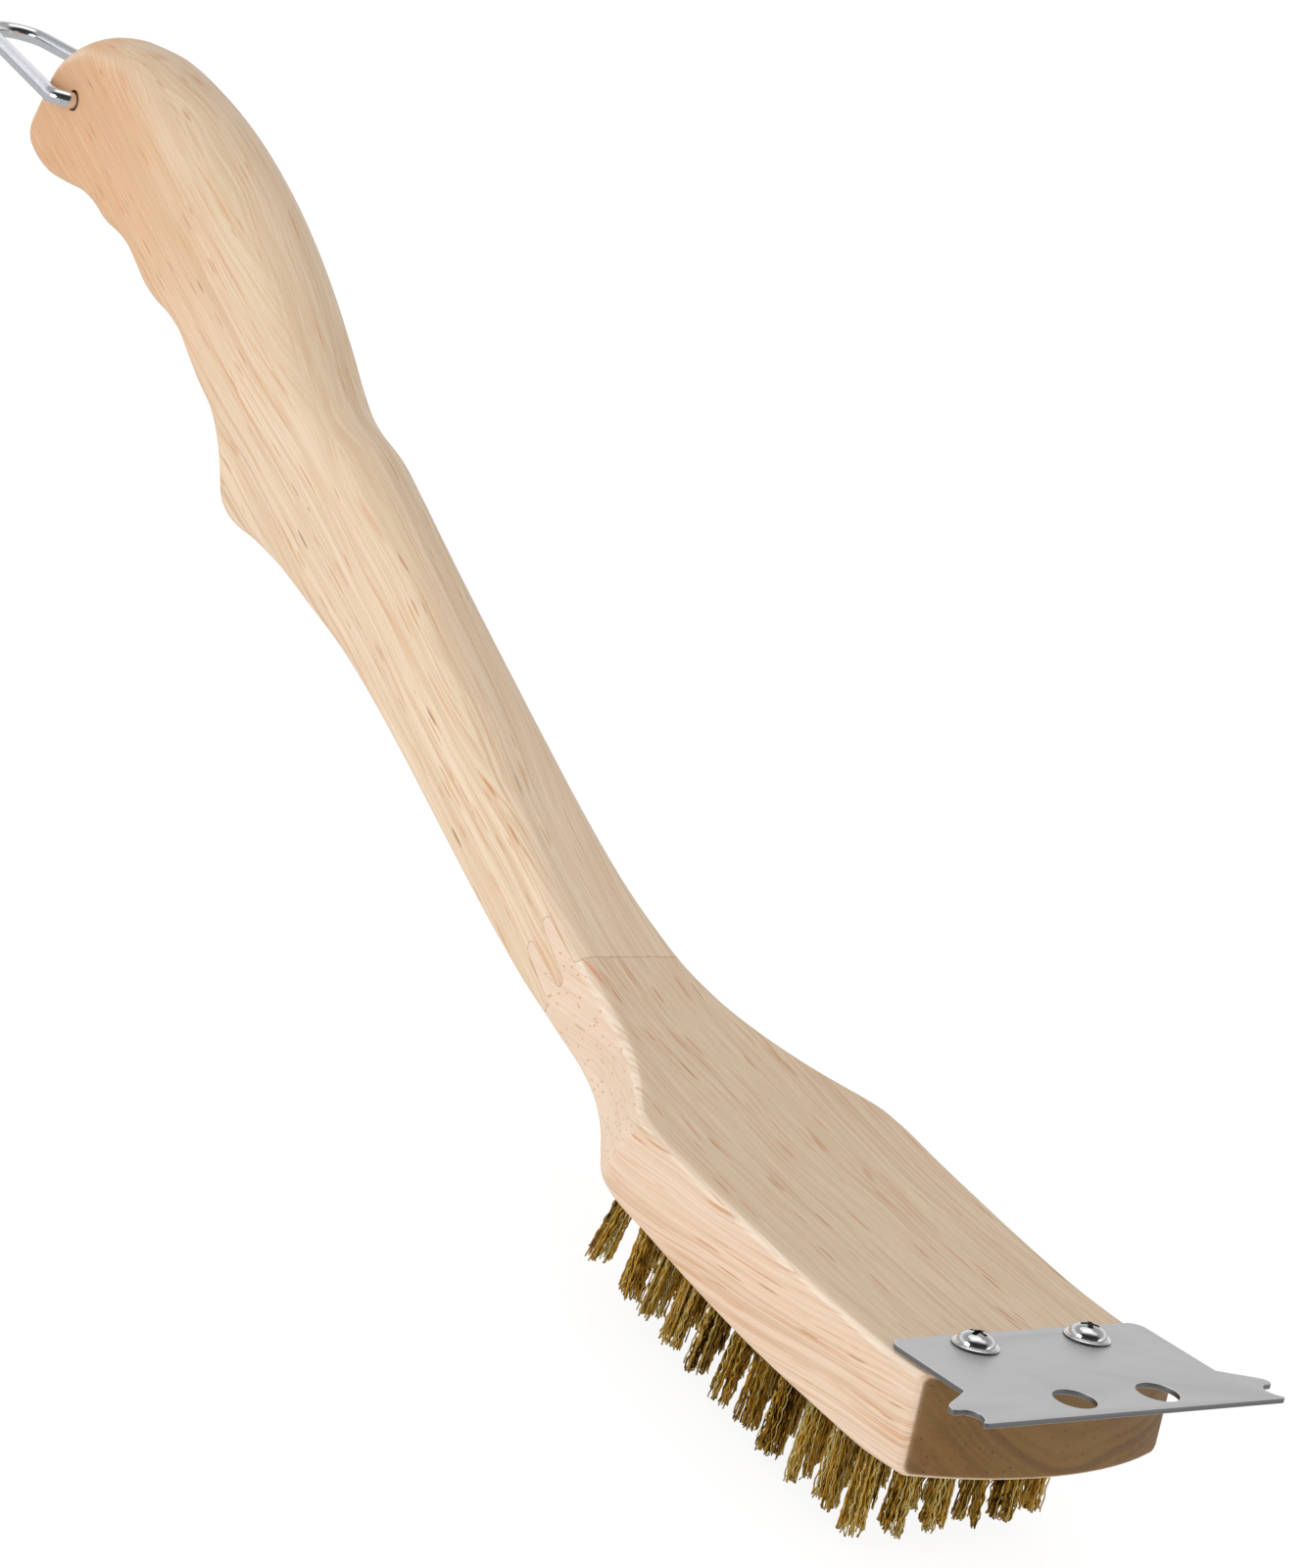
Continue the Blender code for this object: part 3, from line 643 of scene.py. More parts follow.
def ring_path():
    """(distance out from the hinge, y) along the wire, from one end to the other."""
    lean = math.atan2(RING_SHOULDER - RING_APEX_R, RING_APEX_REACH - RING_APEX_R - RING_BEND)
    bend_y = RING_SHOULDER - RING_BEND
    half = [(0.0, RING_END), (0.0, RING_END + 3.0), (0.0, bend_y - 1.0)]
    for k in range(25):                    # shoulder
        a = math.pi + (math.pi / 2 - lean - math.pi) * k / 24
        half.append((RING_BEND + RING_BEND * math.cos(a), bend_y + RING_BEND * math.sin(a)))
    apex = RING_APEX_REACH - RING_APEX_R
    start = half[-1]
    end = (apex + RING_APEX_R * math.sin(lean), RING_APEX_R * math.cos(lean))
    for k in range(1, 12):                 # leg
        half.append((start[0] + (end[0] - start[0]) * k / 12,
                     start[1] + (end[1] - start[1]) * k / 12))
    for k in range(32):                    # apex
        a = (math.pi / 2 - lean) * (1 - k / 32)
        half.append((apex + RING_APEX_R * math.cos(a), RING_APEX_R * math.sin(a)))
    return half + [(RING_APEX_REACH, 0.0)] + [(out, -y) for out, y in reversed(half)]


def make_ring(mat):
    """Bent wire: two ends in the butt hole, shoulders, straight legs, round apex."""
    rest = math.radians(RING_REST)
    outward = Vector((-math.cos(rest), 0, math.sin(rest)))
    normal = Vector((math.sin(rest), 0, math.cos(rest)))
    hinge = Vector((RING_HINGE[0], 0.0, RING_HINGE[1]))
    points = [hinge + outward * out + Vector((0, y, 0)) for out, y in ring_path()]
    turns = [2 * math.pi * k / WIRE_SIDES for k in range(WIRE_SIDES)]
    rings = []
    for i, p in enumerate(points):
        before = (p - points[i - 1]).normalized() if i else Vector()
        after = (points[i + 1] - p).normalized() if i < len(points) - 1 else Vector()
        flat = (before + after).normalized().cross(normal).normalized()
        rings.append([p + (flat * math.cos(a) + normal * math.sin(a)) * WIRE_R for a in turns])
    ring = solid("chrome_ring", loft(rings))
    register(ring, mat, "hanging_ring", carrier="ring")


# ---------------------------------------------------------------- bristles
WIRES = 78                     # wires in a tuft
WIRE_STEPS = 20
WIRE_ROOT = 2.5                # how deep the wires start in the wood
FOOT_R = 2.15                  # radius the wires start within
TIP_LIMIT = 3.0                # largest offset of a tip from the tuft's axis
CLUMPS = 4                     # wires of a tuft gather towards this many points
# (least, greatest) of the random amounts
CLUMP_R = (1.2, 2.0)
CLUMP_LEVEL = (-1.6, 0.6)      # change of length
TUFT_TONE = (-0.10, 0.18)
FOOT_SHARE = (0.7, 1.05)       # how much of the foot's offset the tip keeps
GATHER = (0.25, 0.55)          # pull of the clump
CRIMP = (0.14, 0.34)           # height of the waves
CRIMP_WAVE = (3.0, 4.4)        # their length
THICKNESS = (0.15, 0.20)       # radius of a wire
BEND = (1.0, 1.6)              # power of the drift from foot to tip


def wire_rings(centres, zigzag, direction, turn, thick):
    """Triangular rings along a wire."""
    rings = []
    for k, centre in enumerate(centres):
        run = centres[min(k + 1, WIRE_STEPS)] - centres[max(k - 1, 0)]
        u = run.cross(zigzag)
        if u.length < 1e-6:                # the wire runs along its own zigzag
            u = run.cross(direction)
        u.normalize()
        w = run.normalized().cross(u)
        turns = [turn + 2 * math.pi * j / 3 for j in range(3)]
        rings.append([centre + (u * math.cos(a) + w * math.sin(a)) * thick for a in turns])
    return rings


def tuft(root, direction, seed):
    """Crimped brass wires of one tuft: skin, and a shade and a height for each vertex."""
    rng = random.Random(seed)
    side = direction.cross(Vector((0, 1, 0))).normalized()
    other = direction.cross(side)

    def across(distance, angle):
        return side * distance * math.cos(angle) + other * distance * math.sin(angle)

    sway = side * rng.uniform(-0.5, 0.5) + other * rng.uniform(-0.45, 0.45)
    start = rng.uniform(0, 2 * math.pi)
    clumps = [(start + 2 * math.pi * k / CLUMPS + rng.uniform(-0.5, 0.5), rng.uniform(*CLUMP_R),
               rng.uniform(*CLUMP_LEVEL)) for k in range(CLUMPS)]
    tone = rng.uniform(*TUFT_TONE)
    wires, shade, height = [], [], []
    for _ in range(WIRES):
        r = FOOT_R * math.sqrt(rng.random())
        a = rng.uniform(0, 2 * math.pi)
        foot = across(r, a)
        clump_a, clump_r, level = min(
            clumps, key=lambda c: abs((a - c[0] + math.pi) % (2 * math.pi) - math.pi))
        gather = across(clump_r, clump_a)
        tip = foot * rng.uniform(*FOOT_SHARE) + gather * rng.uniform(*GATHER) + sway
        tip += side * rng.gauss(0, 0.20) + other * rng.gauss(0, 0.20)
        if tip.length > TIP_LIMIT:
            tip *= TIP_LIMIT / tip.length
        length = TUFT_LENGTH + 0.5 + level - abs(rng.gauss(0, 0.8))
        crimp = rng.uniform(*CRIMP)
        wave = rng.uniform(*CRIMP_WAVE)
        phase = rng.uniform(0, 2 * math.pi)
        turn = rng.uniform(0, 2 * math.pi)
        zigzag = across(1.0, turn)
        thick = rng.uniform(*THICKNESS)
        tint = min(1.0, max(0.0, rng.betavariate(0.9, 1.25) + tone))
        bend = rng.uniform(*BEND)
        centres = []
        for k in range(WIRE_STEPS + 1):
            h = -WIRE_ROOT + (length + WIRE_ROOT) * k / WIRE_STEPS
            drift = foot + (tip - foot) * max(0.0, h / length) ** bend
            # the crimp grows over the first 2 mm below the wood
            offset = min(1.0, max(0.0, h / 2.0)) * crimp * math.sin(2 * math.pi * h / wave + phase)
            centres.append(root + direction * h + drift + zigzag * offset)
            shade += [tint] * 3
            height += [k / WIRE_STEPS] * 3
        wires.append(loft(wire_rings(centres, zigzag, direction, turn, thick)))
    return join(wires), shade, height


def make_bristles(mat, cad_nodes):
    for i, (tag, root, direction) in enumerate(tuft_grid()):
        (verts, faces), shade, height = tuft(root, direction, seed=4100 + 37 * i)
        mesh = bpy.data.meshes.new("brass_" + tag)
        mesh.from_pydata([place(v) for v in verts], [], faces)
        add_values(mesh, "shade", "POINT", shade)
        add_values(mesh, "along", "POINT", height)
        mesh.shade_smooth()
        node = "bristle_tuft_" + tag       # the CAD may lack some of the tufts
        register(add_object("brass_" + tag, mesh), mat, node if node in cad_nodes else None)


# ---------------------------------------------------------------- materials
class Nodes:
    """Short names for building a node tree."""

    def __init__(self, tree):
        self.tree = tree

    def put(self, value, socket):
        if isinstance(value, bpy.types.NodeSocket):
            self.tree.links.new(value, socket)
        elif isinstance(value, tuple) and len(value) == 3 and socket.type == "RGBA":
            socket.default_value = (*value, 1.0)
        else:
            socket.default_value = value

    def node(self, kind, inputs=(), **props):
        n = self.tree.nodes.new(kind)
        for key, value in props.items():
            setattr(n, key, value)
        for key, value in dict(inputs).items():
            self.put(value, n.inputs[key])
        return n

    def math(self, op, a, b=0.0, c=0.0):
        return self.node("ShaderNodeMath", {0: a, 1: b, 2: c}, operation=op).outputs[0]

    def times(self, a, b):
        return self.math("MULTIPLY", a, b)

    def plus(self, a, b):
        return self.math("ADD", a, b)

    def minus(self, a, b):
        return self.math("SUBTRACT", a, b)

    def vec(self, op, a, b=(0.0, 0.0, 0.0)):
        n = self.node("ShaderNodeVectorMath", {0: a, 1: b}, operation=op)
        return n.outputs["Value" if op in ("LENGTH", "DOT_PRODUCT") else "Vector"]

    def noise(self, where, detail=2.0, rough=0.5, output=0, dimensions="3D"):
        key = "W" if dimensions == "1D" else "Vector"
        return self.node("ShaderNodeTexNoise", {key: where, "Scale": 1.0, "Detail": detail,
                                                "Roughness": rough},
                         noise_dimensions=dimensions).outputs[output]

    def ease(self, value, over, to=(0.0, 1.0)):
        """Smooth step: value running over one range gives the other."""
        return self.node("ShaderNodeMapRange", {
            "Value": value, "From Min": over[0], "From Max": over[1],
            "To Min": to[0], "To Max": to[1]}, interpolation_type="SMOOTHSTEP").outputs[0]

    def mix(self, fac, a, b, how="MIX"):
        return self.node("ShaderNodeMix", {0: fac, 6: a, 7: b}, data_type="RGBA",
                         blend_type=how).outputs[2]

    def object_point(self):
        return self.node("ShaderNodeTexCoord").outputs["Object"]

    def normal(self):
        return self.node("ShaderNodeNewGeometry").outputs["Normal"]

    def attribute(self, name):
        return self.node("ShaderNodeAttribute", attribute_name=name).outputs["Fac"]


class Material(Nodes):
    def __init__(self, name):
        self.mat = bpy.data.materials.new(name)
        self.mat.use_nodes = True
        super().__init__(self.mat.node_tree)
        self.bsdf = self.tree.nodes["Principled BSDF"]

    def set(self, **inputs):
        for name, value in inputs.items():
            self.put(value, self.bsdf.inputs[name.replace("_", " ")])


Tones = namedtuple("Tones", "base band patch line pale")
Mark = namedtuple("Mark", "colour share strength")     # share: how many of the cells show one


class Wood(Material):
    """Solid wood, painted layer over layer.

    The grain runs along an axis turned by grain degrees about Y; rings go round the pith.
    Lengths and widths of the marks are millimetres along and across the grain.
    """

    def __init__(self, name, grain, pith):
        super().__init__(name)
        self.local = self.node("ShaderNodeMapping", {
            "Vector": self.object_point(), "Rotation": (0.0, math.radians(grain), 0.0),
            "Scale": TO_MM}).outputs[0]
        # the fibres wander slightly across the board
        wander = self.noise(self.stretch(self.local, length=80, width=30), output="Color")
        wander = self.vec("MULTIPLY", self.vec("SUBTRACT", wander, (0.5, 0.5, 0.5)),
                          (0.0, 8.0, 8.0))
        self.wavy = self.vec("ADD", self.local, wander)
        turn = Matrix.Rotation(math.radians(-grain), 3, "Y")
        normal = self.normal()
        self.upward = self.math("ABSOLUTE",
                                self.vec("DOT_PRODUCT", normal, tuple(turn @ Vector((0, 0, 1)))))
        self.facing = self.vec("DOT_PRODUCT", normal, tuple(turn @ Vector((1, 0, 0))))
        # upper and lower faces show the boards' layers as long lines, and so do the sides
        self.on_top = self.vec("MULTIPLY", self.wavy, (1.0, 1.0, 0.08))
        self.on_side = self.vec("MULTIPLY", self.wavy, (1.0, 0.08, 1.0))
        self.top_share = self.ease(self.upward, over=(0.45, 0.80))
        self.fibre = self.grainy(length=38, width=0.34, rough=0.6)
        from_pith = self.vec("SUBTRACT", self.wavy, (0.0, *pith))
        self.radius = self.vec("LENGTH", self.vec("MULTIPLY", from_pith, (0.0, 1.0, 1.0)))
        self.ring = self.rings(width=2.4, detail=2.0)

    def stretch(self, where, length, width):
        return self.vec("MULTIPLY", where, (1 / length, 1 / width, 1 / width))

    def rings(self, width, detail):
        return self.noise(self.times(self.radius, 1 / width), detail=detail, rough=0.6,
                          dimensions="1D")

    def grainy(self, length, width, detail=2.0, rough=0.5):
        """Noise drawn out along the grain."""
        top, side = (self.noise(self.stretch(where, length, width), detail, rough)
                     for where in (self.on_top, self.on_side))
        return self.math("MULTIPLY_ADD", self.top_share, self.minus(top, side), side)

    def patchy(self, length, width, over, to=(0.0, 1.0)):
        return self.ease(self.noise(self.stretch(self.local, length, width), detail=1.5), over, to)

    def spots(self, where, over, above, channel):
        """Spots in the cells whose random colour channel is above a level."""
        cells = self.node("ShaderNodeTexVoronoi",
                          {"Vector": where, "Scale": 1.0, "Randomness": 1.0})
        pick = self.node("ShaderNodeSeparateColor", {0: cells.outputs["Color"]}).outputs[channel]
        return self.times(self.ease(cells.outputs["Distance"], over),
                          self.math("GREATER_THAN", pick, above))

    def lay(self, share, colour):
        self.colour = self.mix(share, self.colour, colour)

    def lay_bands(self, tones):
        """Growth bands and large patches."""
        band = self.grainy(length=170, width=8)
        mixed = self.plus(self.times(self.ring, 0.15), self.times(band, 0.85))
        self.colour = self.mix(self.ease(mixed, over=(0.36, 0.64)), tones.base, tones.band)
        self.lay(self.patchy(length=120, width=40, over=(0.42, 0.66)), tones.patch)

    def lay_threads(self, tones):
        """Broad and narrow lines, then threads, fine rings and single fibres."""
        broad = self.grainy(length=140, width=3.0)
        narrow = self.grainy(length=150, width=0.62, detail=1.0)
        thread = self.grainy(length=60, width=0.9)
        lines = self.times(self.ease(narrow, over=(0.53, 0.60)),
                           self.patchy(length=150, width=12, over=(0.38, 0.60), to=(0.25, 1.0)))
        for share in (self.ease(broad, over=(0.50, 0.66), to=(0.0, 0.16)),
                      self.times(lines, 0.46),
                      self.ease(thread, over=(0.50, 0.60), to=(0.0, 0.24)),
                      self.ease(self.rings(width=0.8, detail=1.0), over=(0.50, 0.72),
                                to=(0.0, 0.06)),
                      self.ease(self.fibre, over=(0.50, 0.62), to=(0.0, 0.24))):
            self.lay(share, tones.line)
        self.lay(self.ease(self.fibre, over=(0.48, 0.34), to=(0.0, 0.26)), tones.pale)

    def lay_streaks(self, colour, wide, thin):
        """Orange-brown streaks, a few millimetres to a few centimetres long."""
        marks = self.times(self.ease(self.grainy(length=46, width=1.5), over=(0.56, 0.74)),
                           self.patchy(length=90, width=16, over=(0.44, 0.62), to=(0.12, 1.0)))
        marks = self.times(marks, self.minus(1.0, self.times(self.top_share, 0.65)))
        self.lay(self.times(marks, wide), colour)
        marks = self.times(self.ease(self.grainy(length=26, width=0.55), over=(0.59, 0.66)),
                           self.patchy(length=55, width=12, over=(0.42, 0.58), to=(0.15, 1.0)))
        self.lay(self.times(marks, thin), colour)

    def lay_pores(self, veins, pores, slits):
        """Open pores as dashes along the grain; returns the fine and the long ones."""
        hard = self.vec("ADD", self.on_side,
                        self.vec("MULTIPLY", self.vec("SUBTRACT", self.on_top, self.on_side),
                                 self.math("GREATER_THAN", self.upward, 0.62)))

        def dashes(length, width, size, share, shift):
            where = self.vec("ADD", self.stretch(hard, length, width), (shift, shift, shift))
            return self.spots(where, over=(size, size * 0.55), above=self.minus(1.0, share),
                              channel=0)

        share = self.patchy(length=70, width=18, over=(0.40, 0.60), to=(0.08, veins.share))
        vein = dashes(length=26.0, width=1.5, size=0.24, share=share, shift=23.0)
        self.lay(self.times(vein, veins.strength), veins.colour)
        share = self.patchy(length=60, width=12, over=(0.40, 0.64), to=(0.04, pores.share))
        fine = dashes(length=13.0, width=0.95, size=0.30, share=share, shift=3.1)
        self.lay(self.times(fine, pores.strength), pores.colour)
        share = self.patchy(length=80, width=22, over=(0.38, 0.60), to=(0.03, slits.share))
        long = dashes(length=24.0, width=2.4, size=0.17, share=share, shift=11.7)
        long = self.times(long, self.ease(self.upward, over=(0.70, 0.40)))
        self.lay(self.times(long, slits.strength), slits.colour)
        return fine, long

    def lay_ovals(self, pale, neck):
        """Short oval pores where the surface is cut across the fibres at the flare."""
        oval = self.spots(self.stretch(self.local, length=2.2, width=1.2), over=(0.30, 0.14),
                          above=0.50, channel=1)
        across = self.ease(self.facing, over=(-0.08, -0.34))
        if neck:
            along = self.node("ShaderNodeSeparateXYZ", {0: self.local}).outputs[0]
            across = self.math("MAXIMUM", across, self.ease(along, over=(neck, neck - 12.0)))
        across = self.times(across, self.ease(self.upward, over=(0.66, 0.45)))
        self.lay(self.times(across, 0.42), pale)
        self.lay(self.times(oval, self.times(across, 0.80)), (0.66, 0.34, 0.15))

    def lay_end_grain_and_shade(self):
        """End grain: darker, as end grain and as painted shade, with pores as dots and the growth
        rings as arcs.
        """
        dot = self.spots(self.stretch(self.local, length=4.0, width=1.5), over=(0.26, 0.12),
                         above=0.55, channel=1)
        speckle = self.noise(self.stretch(self.wavy, length=60, width=1.2), detail=3.0, rough=0.65)
        late = self.plus(self.times(self.ring, 0.6), self.times(speckle, 0.4))
        cut = self.mix(self.ease(late, over=(0.40, 0.60)), (0.245, 0.125, 0.031),
                       (0.192, 0.094, 0.021))
        cut = self.mix(self.patchy(length=60, width=30, over=(0.38, 0.64), to=(0.0, 0.55)), cut,
                       (0.27, 0.15, 0.040))
        # one dark ring, 44 mm from the pith
        off_ring = self.math("ABSOLUTE", self.minus(self.radius, 44.0))
        cut = self.mix(self.ease(off_ring, over=(1.5, 0.0), to=(0.0, 0.38)), cut,
                       (0.10, 0.045, 0.015))
        cut = self.mix(self.times(dot, 0.5), cut, (0.09, 0.035, 0.012))
        # the faces across the grain, chiefly the nose, take these colours: dark end grain with
        # painted shade in it
        self.lay(self.ease(self.facing, over=(0.70, 0.93)), cut)

    def finish(self, fine, long):
        relief = self.minus(self.times(self.fibre, 0.3), self.plus(fine, self.times(long, 1.6)))
        bump = self.node("ShaderNodeBump",
                         {"Height": relief, "Strength": 0.4, "Distance": 0.00007})
        rough = self.plus(self.times(self.fibre, 0.10), self.plus(0.42, self.times(fine, 0.12)))
        self.set(Base_Color=self.colour, Roughness=rough, Normal=bump.outputs[0], Coat_Weight=0.14,
                 Coat_Roughness=0.32, Specular_IOR_Level=0.32)


def wood_material(name, grain, pith, region, tones, streak, wide, thin, veins, pores, slits,
                  neck=None):
    """Wood whose region function tints parts of it; wide and thin are strengths of the streaks."""
    wood = Wood(name, grain, pith)
    wood.lay_bands(tones)
    region(wood)
    wood.lay_threads(tones)
    wood.lay_streaks(streak, wide, thin)
    fine, long = wood.lay_pores(veins, pores, slits)
    wood.lay_ovals(tones.pale, neck)
    wood.lay_end_grain_and_shade()
    wood.finish(fine, long)
    return wood.mat


BOARD_UP = tuple(TURN @ Vector((0, 0, 1)))


def tint_head(wood):
    """The upper face is painted darker, as painted shade, and more olive than the sides; a painted
    highlight lightens the rounded upper corners.
    """
    normal = wood.normal()
    rise = wood.vec("DOT_PRODUCT", normal, BOARD_UP)
    # painted shade: the upper face darker and more olive than the sides
    wood.lay(wood.ease(rise, over=(0.80, 0.97), to=(0.0, 0.85)), (0.77, 0.60, 0.405))
    across = wood.node("ShaderNodeSeparateXYZ", {0: normal}).outputs[1]
    # painted highlight along the rounded upper corner on both sides
    corner = wood.plus(wood.times(rise, 0.707), wood.times(wood.math("ABSOLUTE", across), 0.707))
    wood.lay(wood.ease(corner, over=(0.885, 0.965), to=(0.0, 0.80)), (0.98, 0.84, 0.68))


def head_material():
    """Pinkish tan block, its grain along the board."""
    streak = (0.64, 0.30, 0.13)
    return wood_material(
        "head_grain", grain=TIP_LINE_TILT, pith=(8.0, 26.0), region=tint_head,
        tones=Tones(base=(0.85, 0.65, 0.485), band=(0.79, 0.58, 0.41), patch=(0.85, 0.635, 0.47),
                    line=(0.60, 0.385, 0.225), pale=(0.92, 0.74, 0.58)),
        streak=streak, wide=0.44, thin=0.66,
        veins=Mark(streak, share=0.60, strength=0.74),
        pores=Mark((0.52, 0.235, 0.10), share=0.30, strength=0.66),
        slits=Mark((0.36, 0.16, 0.07), share=0.12, strength=0.7),
        neck=-132.0)


CREST = -51.0                  # height of the handle's upper round-over in its grain frame


def tint_handle(wood):
    """Warmer towards the butt; olive along the top of the grip, and darker there as painted shade."""
    local = wood.node("ShaderNodeSeparateXYZ", {0: wood.local}).outputs
    cloud = wood.noise(wood.stretch(wood.local, length=60, width=18), detail=3.0)
    soft = wood.times(wood.minus(cloud, 0.5), 34.0)
    butt = wood.ease(wood.plus(local[0], wood.times(soft, 1.4)), over=(-330.0, -455.0))
    level = wood.plus(local[2], wood.times(soft, 0.25))
    above = wood.ease(level, over=(CREST - 9.0, CREST + 4.0))
    wood.lay(wood.times(butt, wood.minus(1.0, wood.times(above, 0.7))), (0.735, 0.42, 0.22))
    back = wood.ease(local[0], over=(-150.0, -215.0))
    # painted shade: the top of the grip darker and more olive
    wood.lay(wood.times(wood.times(above, back), 0.75), (0.745, 0.575, 0.385))


def handle_material():
    """Pale wood, its grain along the handle."""
    streak = (0.68, 0.35, 0.155)
    return wood_material(
        "handle_grain", grain=TIP_LINE_TILT - HANDLE_SLOPE, pith=(-60.0, -30.0),
        region=tint_handle,
        tones=Tones(base=(0.87, 0.695, 0.51), band=(0.80, 0.61, 0.43), patch=(0.86, 0.68, 0.49),
                    line=(0.62, 0.40, 0.225), pale=(0.93, 0.78, 0.61)),
        streak=streak, wide=0.50, thin=0.66,
        veins=Mark(streak, share=0.60, strength=0.66),
        pores=Mark((0.56, 0.265, 0.115), share=0.34, strength=0.60),
        slits=Mark((0.34, 0.145, 0.062), share=0.26, strength=0.70))


def plate_material():
    """Satin stainless sheet: faint rolling lines along Y and a soft mottle."""
    steel = Material("satin_steel")
    p = steel.vec("MULTIPLY", steel.object_point(), TO_MM)
    lines = steel.noise(steel.vec("MULTIPLY", p, (1 / 0.12, 1 / 14, 1 / 0.12)),
                        detail=3.0, rough=0.6)
    mottle = steel.noise(steel.vec("MULTIPLY", p, (1 / 5, 1 / 5, 1 / 5)), detail=3.0, rough=0.6)
    colour = steel.mix(steel.times(mottle, 0.5), (0.65, 0.65, 0.655), (0.72, 0.72, 0.72))
    colour = steel.mix(steel.ease(lines, over=(0.35, 0.65), to=(0.0, 0.18)), colour,
                       (0.55, 0.55, 0.555))
    # painted reflections: the cut sides dark, the bevels bright as a painted highlight
    flat = steel.math("ABSOLUTE", steel.vec("DOT_PRODUCT", steel.normal(), BOARD_UP))
    colour = steel.mix(steel.ease(flat, over=(0.60, 0.25)), colour, (0.25, 0.25, 0.255))
    bevel = steel.times(steel.ease(flat, over=(0.30, 0.70)), steel.ease(flat, over=(0.995, 0.93)))
    colour = steel.mix(bevel, colour, (0.95, 0.95, 0.95))
    rough = steel.plus(0.36, steel.plus(steel.times(lines, 0.10), steel.times(mottle, 0.08)))
    bump = steel.node("ShaderNodeBump", {"Height": lines, "Strength": 0.12, "Distance": 0.00002})
    steel.set(Base_Color=colour, Metallic=1.0, Roughness=rough, Normal=bump.outputs[0])
    return steel.mat


def chrome_material(name, tint, rough):
    """Bright plating with faint drawing marks, and painted shade where the mesh is marked for it."""
    chrome = Material(name)
    marks = chrome.noise(chrome.vec("MULTIPLY", chrome.object_point(), (900.0, 900.0, 900.0)),
                         detail=3.0, rough=0.6)
    colour = chrome.mix(chrome.ease(marks, over=(0.35, 0.7)), tint, tuple(c * 0.90 for c in tint))
    # painted shade in the cross recess and painted contact shadow at the flange's foot
    colour = chrome.mix(chrome.attribute("painted_shade"), colour, (0.10, 0.095, 0.09))
    chrome.set(Base_Color=colour, Metallic=1.0,
               Roughness=chrome.plus(rough, chrome.times(marks, 0.05)))
    return chrome.mat


def brass_material():
    """Brass wire with each wire its own tone, painted glints, and painted shade in brown towards the
    root.
    """
    brass = Material("brass_wire")
    shade = brass.attribute("shade")
    patch = brass.noise(brass.vec("MULTIPLY", brass.object_point(), (700.0, 700.0, 380.0)))
    # painted glints: the wire's tone and a noise along the wire carry the colour from dark brown up
    # to bright brass
    glint = brass.plus(brass.times(shade, 0.62), brass.times(patch, 0.55))
    colour = brass.mix(brass.ease(glint, over=(0.24, 0.56)), (0.085, 0.034, 0.004),
                       (0.95, 0.555, 0.075))
    colour = brass.mix(brass.ease(glint, over=(0.56, 0.84)), colour, (1.0, 0.88, 0.38))
    # painted shade: brown darkening towards the root, where the wires crowd under the wood
    root = brass.ease(brass.attribute("along"), over=(0.52, 0.12))
    colour = brass.mix(brass.times(root, 0.55), colour, (0.13, 0.060, 0.014))
    brass.set(Base_Color=colour, Metallic=0.96,
              Roughness=brass.minus(0.38, brass.times(shade, 0.16)))
    return brass.mat


# ---------------------------------------------------------------- studio, in metres
AMBIENT = 0.66                 # the tent as light
FLOOR_LIGHT = 1.25             # glow of the floor as light
FLOOR_SHINE = 0.35             # its glow in reflections
FLOOR_SEEN = 1.12              # its glow to the camera
FLOOR_GAP = 0.0012             # below the lowest point of the brush
FLOOR_HALF = 9
MIDDLE = Vector((-0.20, 0.0, 0.02))        # what the lights aim at
CAMERA_AT = (0.463667, -0.540557, 0.353244)
CAMERA_RIGHT = (0.524311, 0.799852, 0.292123)
CAMERA_DOWN = (0.460934, 0.021864, -0.887165)


def make_floor():
    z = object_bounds()[0][2] - FLOOR_GAP
    r = FLOOR_HALF
    mesh = bpy.data.meshes.new("floor")
    mesh.from_pydata([(-r, -r, z), (r, -r, z), (r, r, z), (-r, r, z)], [], [(0, 1, 2, 3)])
    floor = add_object("floor", mesh)
    pale = Material("pale_floor")
    pale.set(Base_Color=(0.86, 0.86, 0.86), Roughness=0.9, Specular_IOR_Level=0.0)
    paths = pale.node("ShaderNodeLightPath").outputs
    seen, shine = paths["Is Camera Ray"], paths["Is Glossy Ray"]
    power = pale.plus(FLOOR_LIGHT, pale.times(seen, FLOOR_SEEN - FLOOR_LIGHT))
    power = pale.minus(power, pale.times(shine, FLOOR_LIGHT - FLOOR_SHINE))
    glow = pale.node("ShaderNodeEmission", {"Color": (1.0, 1.0, 1.0), "Strength": power})
    # half glow, and more of it to the camera
    share = pale.plus(0.5, pale.times(seen, 0.30))
    blend = pale.node("ShaderNodeMixShader",
                      {0: share, 1: pale.bsdf.outputs[0], 2: glow.outputs[0]})
    pale.put(blend.outputs[0], pale.tree.nodes["Material Output"].inputs["Surface"])
    mesh.materials.append(pale.mat)


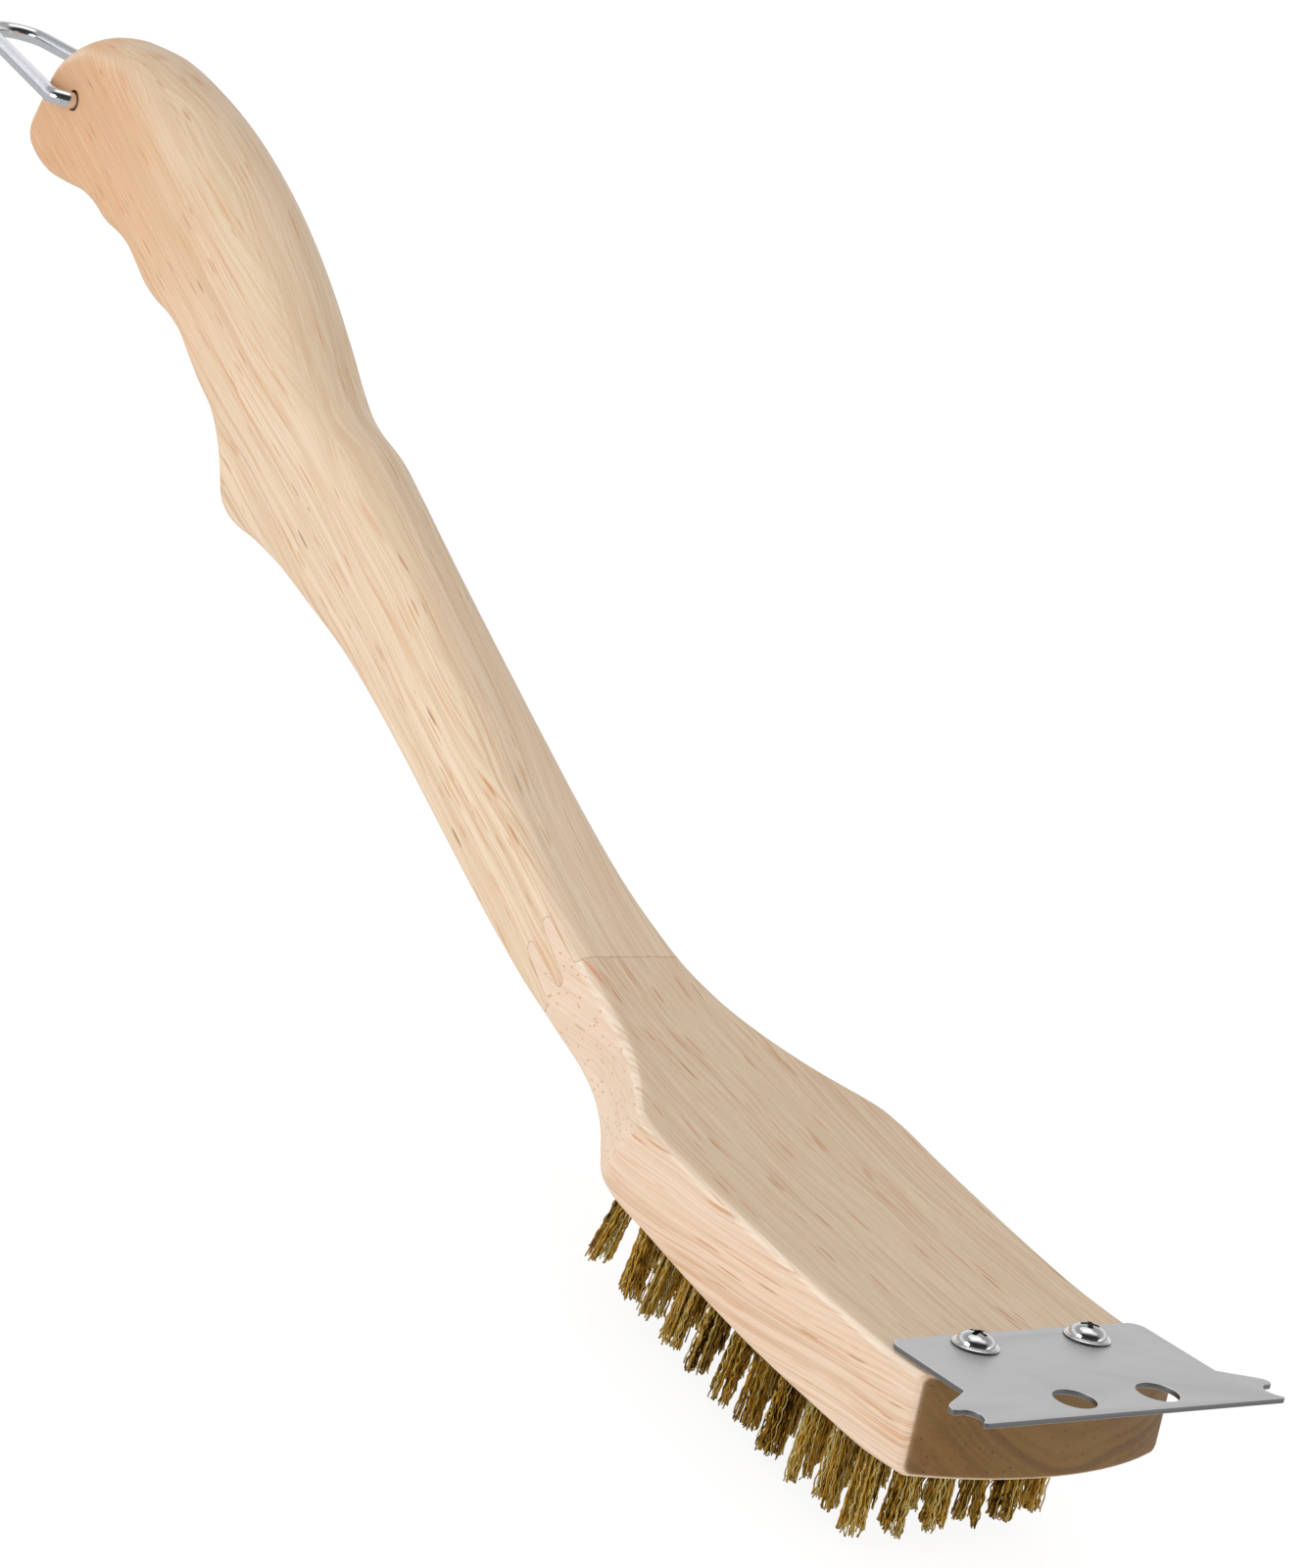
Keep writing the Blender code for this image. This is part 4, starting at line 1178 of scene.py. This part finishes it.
def make_world():
    """Soft white tent: white to the eye, dimmer as light, with a dark side behind the camera for
    the chrome to pick up."""
    world = bpy.data.worlds.new("tent")
    bpy.context.scene.world = world
    world.use_nodes = True
    tent = Nodes(world.node_tree)
    back = tent.tree.nodes["Background"]
    way = tent.node("ShaderNodeTexCoord").outputs["Generated"]
    z = tent.vec("DOT_PRODUCT", way, (0.0, 0.0, 1.0))
    paths = tent.node("ShaderNodeLightPath").outputs
    glossy = paths["Is Glossy Ray"]
    # in reflections: dimmer upwards, bright again overhead, dark towards the camera
    sheen = tent.ease(z, over=(0.15, 0.65), to=(0.92, 0.40))
    sheen = tent.plus(sheen, tent.ease(z, over=(0.80, 0.95), to=(0.0, 0.75)))
    facing = tent.vec("DOT_PRODUCT", way, (0.80, -0.48, 0.36))
    sheen = tent.times(sheen, tent.ease(facing, over=(0.16, 0.64), to=(1.0, 0.07)))
    level = tent.mix(glossy, (AMBIENT, AMBIENT, AMBIENT * 1.02), (1.0, 1.0, 1.0))
    factor = tent.node("ShaderNodeMix", {0: glossy, 2: 1.0, 3: sheen}, data_type="FLOAT")
    colour = tent.mix(1.0, level, factor.outputs[0], how="MULTIPLY")
    colour = tent.mix(paths["Is Camera Ray"], colour, (1.0, 1.0, 1.0))
    tent.put(colour, back.inputs["Color"])
    back.inputs["Strength"].default_value = 1.0


def area(name, offset, size, watts, tint=(1, 1, 1)):
    """Disk light at an offset from MIDDLE, aimed at it."""
    data = bpy.data.lights.new(name, "AREA")
    data.shape = "DISK"
    data.size = size
    data.energy = watts
    data.color = tint
    ob = add_object(name, data)
    at = MIDDLE + offset
    ob.location = at
    ob.rotation_euler = (MIDDLE - at).to_track_quat("-Z", "Y").to_euler()


def make_camera():
    camera = add_object("camera", bpy.data.cameras.new("camera"))
    right = Vector(CAMERA_RIGHT).normalized()
    down = Vector(CAMERA_DOWN)
    down = (down - right * down.dot(right)).normalized()
    ahead = right.cross(down)
    rows = [(right[i], -down[i], -ahead[i], CAMERA_AT[i]) for i in range(3)]
    camera.matrix_world = Matrix((*rows, (0.0, 0.0, 0.0, 1.0)))
    camera.data.sensor_width = 36.0
    camera.data.lens = 101.386
    camera.data.clip_start = 0.02
    camera.data.clip_end = 60.0
    bpy.context.scene.camera = camera


def make_studio():
    make_floor()
    make_world()
    area("key", offset=Vector((0.0, -0.98, 0.20)) * 1.7, size=1.0, watts=8.6,
         tint=(1.0, 0.985, 0.96))
    area("top", offset=Vector((-0.45, 0.15, 1.0)) * 1.5, size=1.2, watts=2.5)
    area("fill", offset=Vector((1.30, 0.85, 0.05)), size=0.8, watts=1.6)
    make_camera()
    bpy.context.scene.view_settings.view_transform = "Standard"


# ---------------------------------------------------------------- assembly
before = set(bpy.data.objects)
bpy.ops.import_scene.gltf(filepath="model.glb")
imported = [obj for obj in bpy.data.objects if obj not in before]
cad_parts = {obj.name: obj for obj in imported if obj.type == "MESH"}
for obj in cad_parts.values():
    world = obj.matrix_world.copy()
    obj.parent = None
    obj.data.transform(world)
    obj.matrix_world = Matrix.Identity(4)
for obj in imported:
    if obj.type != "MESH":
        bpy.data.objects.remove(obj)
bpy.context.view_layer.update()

make_head(head_material())
make_handle(handle_material())
make_plate(plate_material())
make_screws(chrome_material("screw_chrome", tint=(0.76, 0.765, 0.77), rough=0.05))
make_ring(chrome_material("ring_chrome", tint=(0.86, 0.88, 0.92), rough=0.12))
make_bristles(brass_material(), set(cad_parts))
make_studio()
